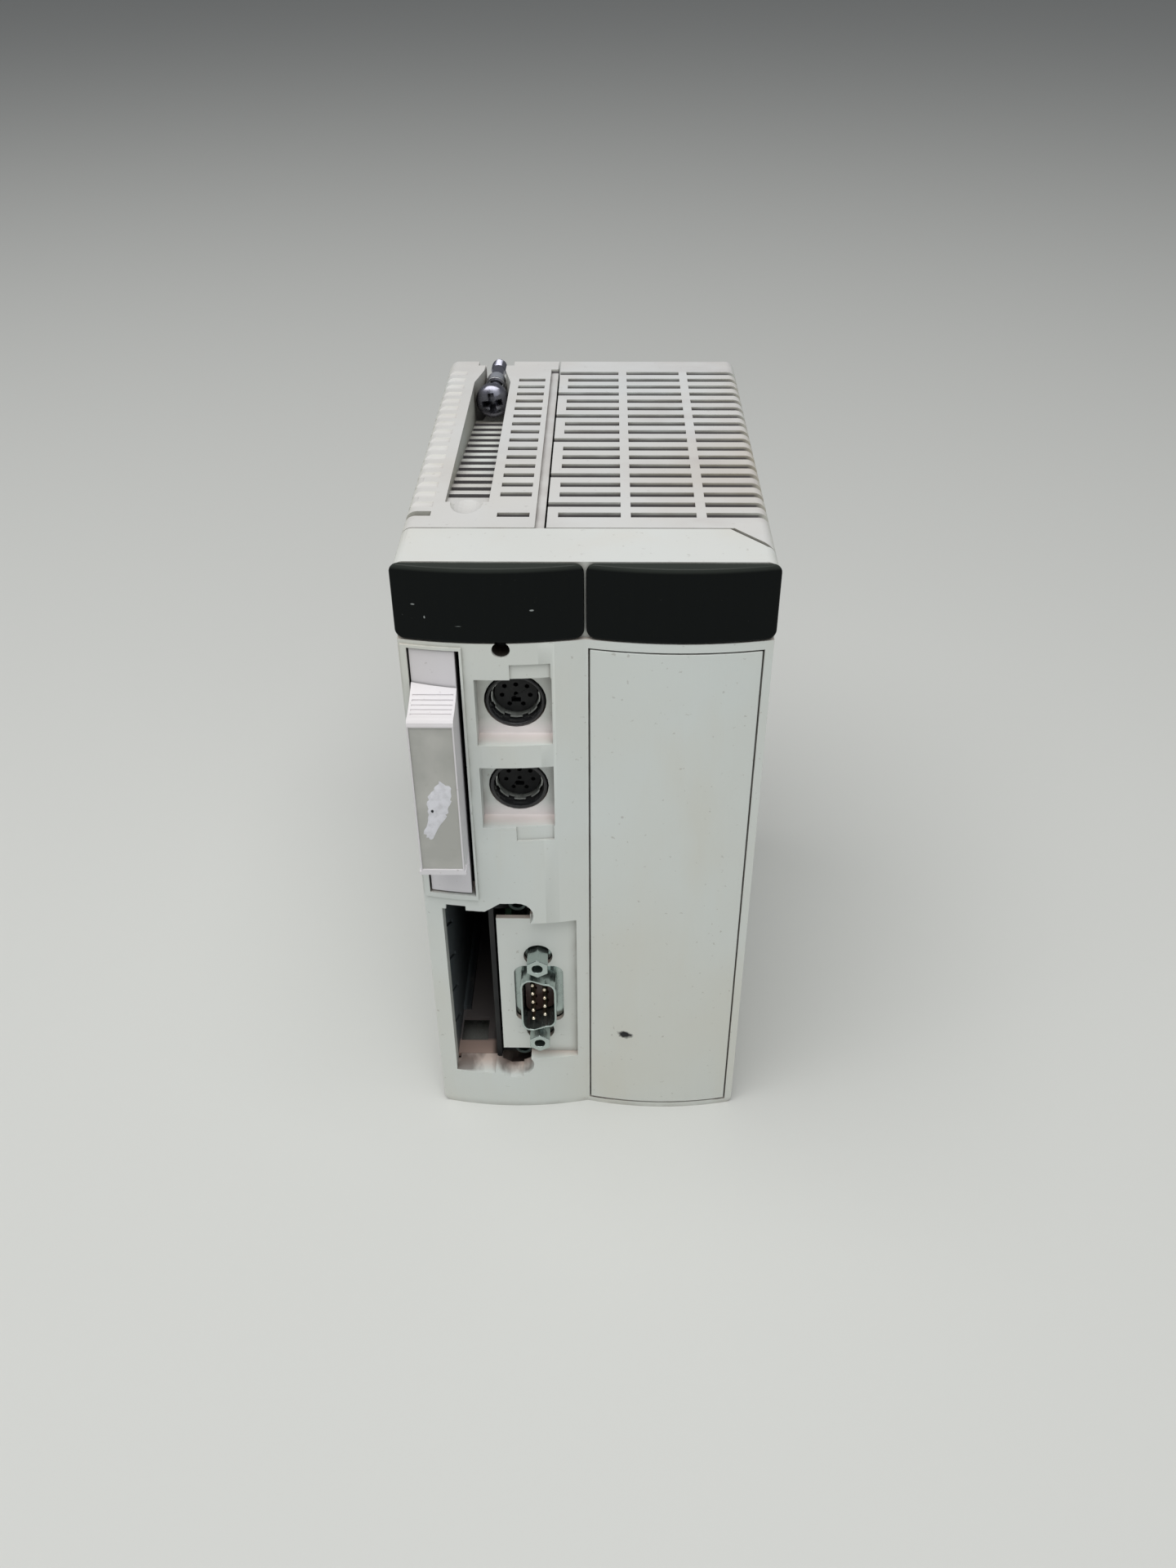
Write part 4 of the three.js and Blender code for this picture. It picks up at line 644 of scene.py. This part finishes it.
# The label fills its seat in the handle. A strip of it has been torn off and shows white fibre.
LABEL_SPARE, LABEL_RIPPLE, LABEL_BACK_GAP = 0.28 * MM, 0.03 * MM, 0.02 * MM
LABEL_COLUMNS, LABEL_ROWS = 8, 36
ripple = random.Random(7)
label_sheet = mesh_piece("label_sheet", "card_unit", label_paper)
sheet = bmesh.new()
sheet_sides = []
sheet_wide = label_high.x - label_low.x + 2 * LABEL_SPARE
sheet_tall = label_high.z - label_low.z + 2 * LABEL_SPARE
for face_y, wave in ((label_low.y, LABEL_RIPPLE), (label_high.y - LABEL_BACK_GAP, 0)):
    grid = []
    for row in range(LABEL_ROWS + 1):
        z = label_low.z - LABEL_SPARE + sheet_tall * row / LABEL_ROWS
        line = []
        for column in range(LABEL_COLUMNS + 1):
            x = label_low.x - LABEL_SPARE + sheet_wide * column / LABEL_COLUMNS
            line.append(sheet.verts.new((x, face_y + ripple.random() * wave, z)))
        grid.append(line)
    for lower, upper in zip(grid, grid[1:]):
        for column in range(LABEL_COLUMNS):
            sheet.faces.new((lower[column], lower[column + 1], upper[column + 1], upper[column]))
    sheet_sides.append(grid)
near, far = sheet_sides
rim = [(0, c) for c in range(LABEL_COLUMNS)] + [(r, LABEL_COLUMNS) for r in range(LABEL_ROWS)]
rim += [(LABEL_ROWS, c) for c in range(LABEL_COLUMNS, 0, -1)] + [(r, 0) for r in range(LABEL_ROWS, 0, -1)]
for (r, c), (r2, c2) in zip(rim, rim[1:] + rim[:1]):
    sheet.faces.new((near[r][c], near[r2][c2], far[r2][c2], far[r][c]))
fill(label_sheet, sheet)
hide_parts("card_label")

torn_fibre = Finish("torn_fibre", 0.8, specular=0.2)
torn_fibre.colour(linear(226, 226, 232))
torn_fibre.layer(torn_fibre.noise(700, 4, low=0.45, high=0.7), linear(196, 196, 200), 0.6)
torn_fibre.relief(torn_fibre.noise(1600, 4, stretch=(1, 1, 0.3)), 0.05 * MM, 0.8)
FLECK = (-31.0 * MM, label_low.y, 101.5 * MM)
torn_fibre.layer(torn_fibre.spot(FLECK, (0.24 * MM, 1 * MM, 0.42 * MM), ragged=0.4), linear(40, 40, 44))
# Corners of the torn strip as it lies on the label, across and up, in millimetres.
TORN_OUTLINE = [
    (-29.0, 109.0), (-26.9, 107.4), (-27.2, 103.5), (-28.6, 99.6),
    (-31.9, 93.8), (-33.2, 95.6), (-31.9, 100.1), (-31.7, 105.1),
]
# The torn paper as (share of the outline, behind the label's face): a sunk foot, the rim, two rises.
TORN_LAYERS = ((1, 0.1 * MM), (1, -0.005 * MM), (0.9, -0.07 * MM), (0.45, -0.09 * MM))
TEAR_STEPS, TEAR_WANDER = 7, 0.3
tear = random.Random(3)
torn_patch = mesh_piece("torn_patch", "card_unit", torn_fibre)
patch = bmesh.new()
rim = []
for (x, z), (x2, z2) in zip(TORN_OUTLINE, TORN_OUTLINE[1:] + TORN_OUTLINE[:1]):
    for i in range(TEAR_STEPS):
        share = i / TEAR_STEPS
        rim.append((
            (x + (x2 - x) * share + tear.uniform(-TEAR_WANDER, TEAR_WANDER)) * MM,
            (z + (z2 - z) * share + tear.uniform(-TEAR_WANDER, TEAR_WANDER)) * MM,
        ))
middle = (sum(x for x, _ in rim) / len(rim), sum(z for _, z in rim) / len(rim))
rings = []
for shrink, y in TORN_LAYERS:
    ring = []
    for x, z in rim:
        near_x, near_z = middle[0] + (x - middle[0]) * shrink, middle[1] + (z - middle[1]) * shrink
        ring.append(patch.verts.new((near_x, label_low.y + y, near_z)))
    rings.append(ring)
for first, second in zip(rings, rings[1:]):
    for i in range(len(rim)):
        k = (i + 1) % len(rim)
        patch.faces.new((first[i], first[k], second[k], second[i]))
patch.faces.new(rings[-1])
patch.faces.new(list(reversed(rings[0])))
fill(torn_patch, patch)
coat(header_plastic, "memory_card_guide", "memory_card_header")
soften("card_cover", 0.25 * MM)
soften("card_handle", 0.3 * MM)
soften("memory_card", 0.25 * MM)
soften("memory_card_guide", 0.2 * MM)
soften("memory_card_header", 0.2 * MM)

# ---------------------------------------------------------------- rack screw
# The captive screw that fastens the module to the rack, of zinc-plated steel with a domed head, a cross
# recess and a short rolled thread. A snap ring and a plastic collar keep it in its slot.
screw_low, screw_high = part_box("rack_screw")
screw_x, screw_z = (screw_low.x + screw_high.x) / 2, (screw_low.z + screw_high.z) / 2
head_radius = (screw_high.x - screw_low.x) / 2
DOME, HEAD_LENGTH, HEAD_BREAK, SHANK_RADIUS = 2.0 * MM, 3.4 * MM, 0.25 * MM, 1.6 * MM
THREAD_LENGTH, THREAD_PITCH, THREAD_CREST, THREAD_ROOT = 4.8 * MM, 0.7 * MM, 2.0 * MM, 1.6 * MM
THREAD_STARTS, THREAD_FADES = 0.6 * MM, 0.9 * MM
TIP_BREAK, TIP_SHOULDER, TIP_RADIUS = 0.1 * MM, 1.3 * MM, 0.9 * MM
RINGS_PER_TURN, DOME_STEPS, SCREW_SIDES, SCREW_SHARP = 8, 8, 40, 38
screw_steel = plated_metal("screw_steel", linear(150, 150, 162), 0.24, linear(84, 82, 88), 0.2, 0.15)
# Painted shade: the cross recess and the other hollows of the screw are painted almost black.
screw_steel.layer(screw_steel.corners(1.5 * MM, 0.25, 0.8), linear(14, 14, 18), 0.9)


def thread_radius(y, crest):
    """Radius of the thread at a place along the screw, as a function of the angle round it."""
    def at(angle):
        turn = (y / THREAD_PITCH - angle / (2 * math.pi)) % 1
        return THREAD_ROOT + (crest - THREAD_ROOT) * (1 - abs(2 * turn - 1))
    return at


profile = []
for step in range(DOME_STEPS + 1):
    t = math.pi / 2 * step / DOME_STEPS
    profile.append((screw_low.y + DOME * (1 - math.cos(t)), head_radius * math.sin(t)))
head_back = screw_low.y + HEAD_LENGTH
profile += [(head_back - HEAD_BREAK, head_radius), (head_back, head_radius - HEAD_BREAK)]
profile.append((head_back, SHANK_RADIUS))
thread_from = screw_high.y - THREAD_LENGTH
profile.append((thread_from, SHANK_RADIUS))
turns = THREAD_LENGTH / THREAD_PITCH
for step in range(1, int(turns * RINGS_PER_TURN)):
    y = thread_from + step * THREAD_PITCH / RINGS_PER_TURN
    ends = min(1, (y - thread_from) / THREAD_STARTS, (screw_high.y - y) / THREAD_FADES)
    profile.append((y, thread_radius(y, THREAD_ROOT + (THREAD_CREST - THREAD_ROOT) * ends)))
profile += [(screw_high.y - TIP_BREAK, TIP_SHOULDER), (screw_high.y, TIP_RADIUS), (screw_high.y, 0)]
captive_screw = mesh_piece("captive_screw", "rack_screw", screw_steel, SCREW_SHARP)
screw = bmesh.new()
turned(screw, profile, SCREW_SIDES, screw_x, screw_z)
fill(captive_screw, screw)

# The cross recess is struck with a tapered punch: (depth, half length, half thickness) of its two ends,
# in millimetres, and the turn at which the screw has come to rest.
PUNCH = [(-0.6, 3.0, 0.85), (3.1, 1.2, 0.5)]
RECESS_TURN = 0.14
for turn in (RECESS_TURN, RECESS_TURN + math.pi / 2):
    punch = bmesh.new()
    corners = []
    for deep, long, thick in PUNCH:
        for along, side in ((-1, -1), (1, -1), (1, 1), (-1, 1)):
            u, v = along * long * MM, side * thick * MM
            corners.append(punch.verts.new((
                screw_x + u * math.cos(turn) - v * math.sin(turn),
                screw_low.y + deep * MM,
                screw_z + u * math.sin(turn) + v * math.cos(turn),
            )))
    for face in ((0, 1, 2, 3), (7, 6, 5, 4), (0, 4, 5, 1), (1, 5, 6, 2), (2, 6, 7, 3), (3, 7, 4, 0)):
        punch.faces.new([corners[i] for i in face])
    bmesh.ops.recalc_face_normals(punch, faces=punch.faces)
    punch_mesh = bpy.data.meshes.new("punch")
    punch.to_mesh(punch_mesh)
    punch.free()
    tool = bpy.data.objects.new("punch", punch_mesh)
    bpy.context.scene.collection.objects.link(tool)
    strike = captive_screw.modifiers.new("strike", "BOOLEAN")
    strike.object, strike.solver = tool, "EXACT"
    finished = captive_screw.evaluated_get(bpy.context.evaluated_depsgraph_get())
    struck = bpy.data.meshes.new_from_object(finished)
    captive_screw.modifiers.clear()
    captive_screw.data = struck
    bpy.data.objects.remove(tool)
captive_screw.data.shade_smooth()
captive_screw.data.set_sharp_from_angle(angle=math.radians(SCREW_SHARP))
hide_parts("rack_screw")
bright_zinc = plated_metal("bright_zinc", linear(206, 206, 210), 0.3, linear(150, 150, 150), 0.3)
coat(bright_zinc, "screw_ring")
# Painted shade: the collar is painted a mid blue-grey, the tone it has in the shadow of its slot.
collar_plastic = moulded_plastic("collar_plastic", linear(132, 137, 147), linear(122, 122, 126), 0.4)
coat(collar_plastic, "screw_collar")
soften("screw_ring", 0.1 * MM)
soften("screw_collar", 0.25 * MM)

# ---------------------------------------------------------------- reset button
# A thin plunger of black plastic that stands behind its hole, to be pressed with a pin, and the small
# moulded switch on the board that it presses.
# The plunger and switch are black plastic, painted almost pure black to add painted shade inside the hole.
button_black = dull_plastic("button_black", linear(5, 5, 5), 0.7, 0.02)
coat(button_black, "reset_button", "reset_switch")
soften("reset_button", 0.2 * MM)
soften("reset_switch", 0.2 * MM)

# ---------------------------------------------------------------- boards and components
# Two boards of green glass-fibre laminate stand on edge in the case. They carry moulded chips, a cooler
# of extruded aluminium with fins, two capacitors in dark sleeves and the plug that links them.
laminate = Finish("board_laminate", 0.4)
laminate.colour(linear(34, 92, 62))
tracks = laminate.new("ShaderNodeTexBrick")
laminate.link(laminate.place, tracks.inputs["Vector"])
tracks.inputs["Scale"].default_value = 160
laminate.layer(tracks.outputs["Fac"], linear(70, 130, 88), 0.6)
laminate.relief(tracks.outputs["Fac"], 0.03 * MM, 0.6)
chip_black = dull_plastic("chip_black", linear(34, 35, 37), 0.4, 0.1)
aluminium = plated_metal("cooler_aluminium", linear(170, 173, 176), 0.38)
coat(laminate, "main_board", "card_board")
coat(chip_black, "processor_chip", "memory_chip_1", "memory_chip_2", "board_link")
coat(aluminium, "heat_sink")
coat(dark_plastic, "capacitor_1", "capacitor_2")
for name in ("processor_chip", "memory_chip_1", "memory_chip_2", "board_link", "heat_sink"):
    soften(name, 0.2 * MM)
soften("capacitor_1", 0.6 * MM, 3)
soften("capacitor_2", 0.6 * MM, 3)

# Each chip stands on gull-wing legs of tinned copper. The side view of a leg is given as (outwards from
# the chip's side, above the board), in millimetres.
LEG_VIEW = [
    (-0.1, 1.7), (0.55, 1.7), (0.85, 0.3), (1.4, 0.3),
    (1.4, 0.08), (0.7, 0.08), (0.4, 1.5), (-0.1, 1.5),
]
LEG_HALF, LEG_MARGIN = 0.2 * MM, 1.6 * MM
board_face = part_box("main_board")[1].x
for chip, pitch, sides in (
    ("processor_chip", 1.0 * MM, ((0, 1), (0, -1), (1, 1), (1, -1))),
    ("memory_chip_1", 1.27 * MM, ((1, 1), (1, -1))),
    ("memory_chip_2", 1.27 * MM, ((1, 1), (1, -1))),
):
    chip_low, chip_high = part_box(chip)
    legs = mesh_piece(chip.replace("chip", "legs"), "module", plug_tin)
    row_of_legs = bmesh.new()
    for upright, sign in sides:
        # Sides with upright 1 face up or down, the others face the front or the rear.
        edge = (chip_low.z, chip_high.z) if upright else (chip_low.y, chip_high.y)
        along = (chip_low.y, chip_high.y) if upright else (chip_low.z, chip_high.z)
        start = edge[1] if sign > 0 else edge[0]
        count = int((along[1] - along[0] - LEG_MARGIN) / pitch) + 1
        first_leg = (along[0] + along[1] - (count - 1) * pitch) / 2
        for i in range(count):
            ends = []
            for side in (-LEG_HALF, LEG_HALF):
                run = first_leg + i * pitch + side
                ring = []
                for out, above in LEG_VIEW:
                    place = start + sign * out * MM
                    y, z = (run, place) if upright else (place, run)
                    ring.append(row_of_legs.verts.new((board_face + above * MM, y, z)))
                ends.append(ring)
            near_end, far_end = ends
            for k in range(len(LEG_VIEW)):
                m = (k + 1) % len(LEG_VIEW)
                row_of_legs.faces.new((near_end[k], near_end[m], far_end[m], far_end[k]))
            row_of_legs.faces.new(list(reversed(near_end)))
            row_of_legs.faces.new(far_end)
    fill(legs, row_of_legs)

# ---------------------------------------------------------------- rear plugs and earthing strip
# The two shrouded plugs of dark plastic that meet the rack's bus stand out of the rear face. Under them a
# springy strip of tinned steel touches the rack and earths the module.
coat(dark_plastic, "bus_plug_lower", "bus_plug_upper")
coat(plug_tin, "ground_clip")
soften("bus_plug_lower", 0.25 * MM)
soften("bus_plug_upper", 0.25 * MM)
soften("ground_clip", 0.1 * MM)

# Three rows of tapered gold-plated blades stand in each shroud.
BLADE_PITCH, BLADE_ROWS, BLADES = 2.54 * MM, 2.54 * MM, 16
BLADE_HALF, BLADE_TIP_HALF, BLADE_TAPER = 0.32 * MM, 0.14 * MM, 0.9 * MM
SHROUD_FLOOR, BLADE_SHORT, BLADE_SUNK = 6 * MM, 0.8 * MM, 0.3 * MM
SQUARE = ((-1, -1), (1, -1), (1, 1), (-1, 1))
for plug in ("bus_plug_lower", "bus_plug_upper"):
    shroud_low, shroud_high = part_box(plug)
    middle_x, middle_z = (shroud_low.x + shroud_high.x) / 2, (shroud_low.z + shroud_high.z) / 2
    floor_y, tip_y = shroud_high.y - SHROUD_FLOOR - BLADE_SUNK, shroud_high.y - BLADE_SHORT
    blade_rings = ((floor_y, BLADE_HALF), (tip_y - BLADE_TAPER, BLADE_HALF), (tip_y, BLADE_TIP_HALF))
    blades = mesh_piece(plug.replace("plug", "blades"), "module", gold)
    comb = bmesh.new()
    for row in (-1, 0, 1):
        x = middle_x + row * BLADE_ROWS
        for i in range(BLADES):
            z = middle_z + (i - (BLADES - 1) / 2) * BLADE_PITCH
            stack = []
            for y, half in blade_rings:
                stack.append([comb.verts.new((x + a * half, y, z + b * half)) for a, b in SQUARE])
            for first, second in zip(stack, stack[1:]):
                for k in range(4):
                    comb.faces.new((first[k], first[(k + 1) % 4], second[(k + 1) % 4], second[k]))
            comb.faces.new(stack[-1])
            comb.faces.new(list(reversed(stack[0])))
    fill(blades, comb)
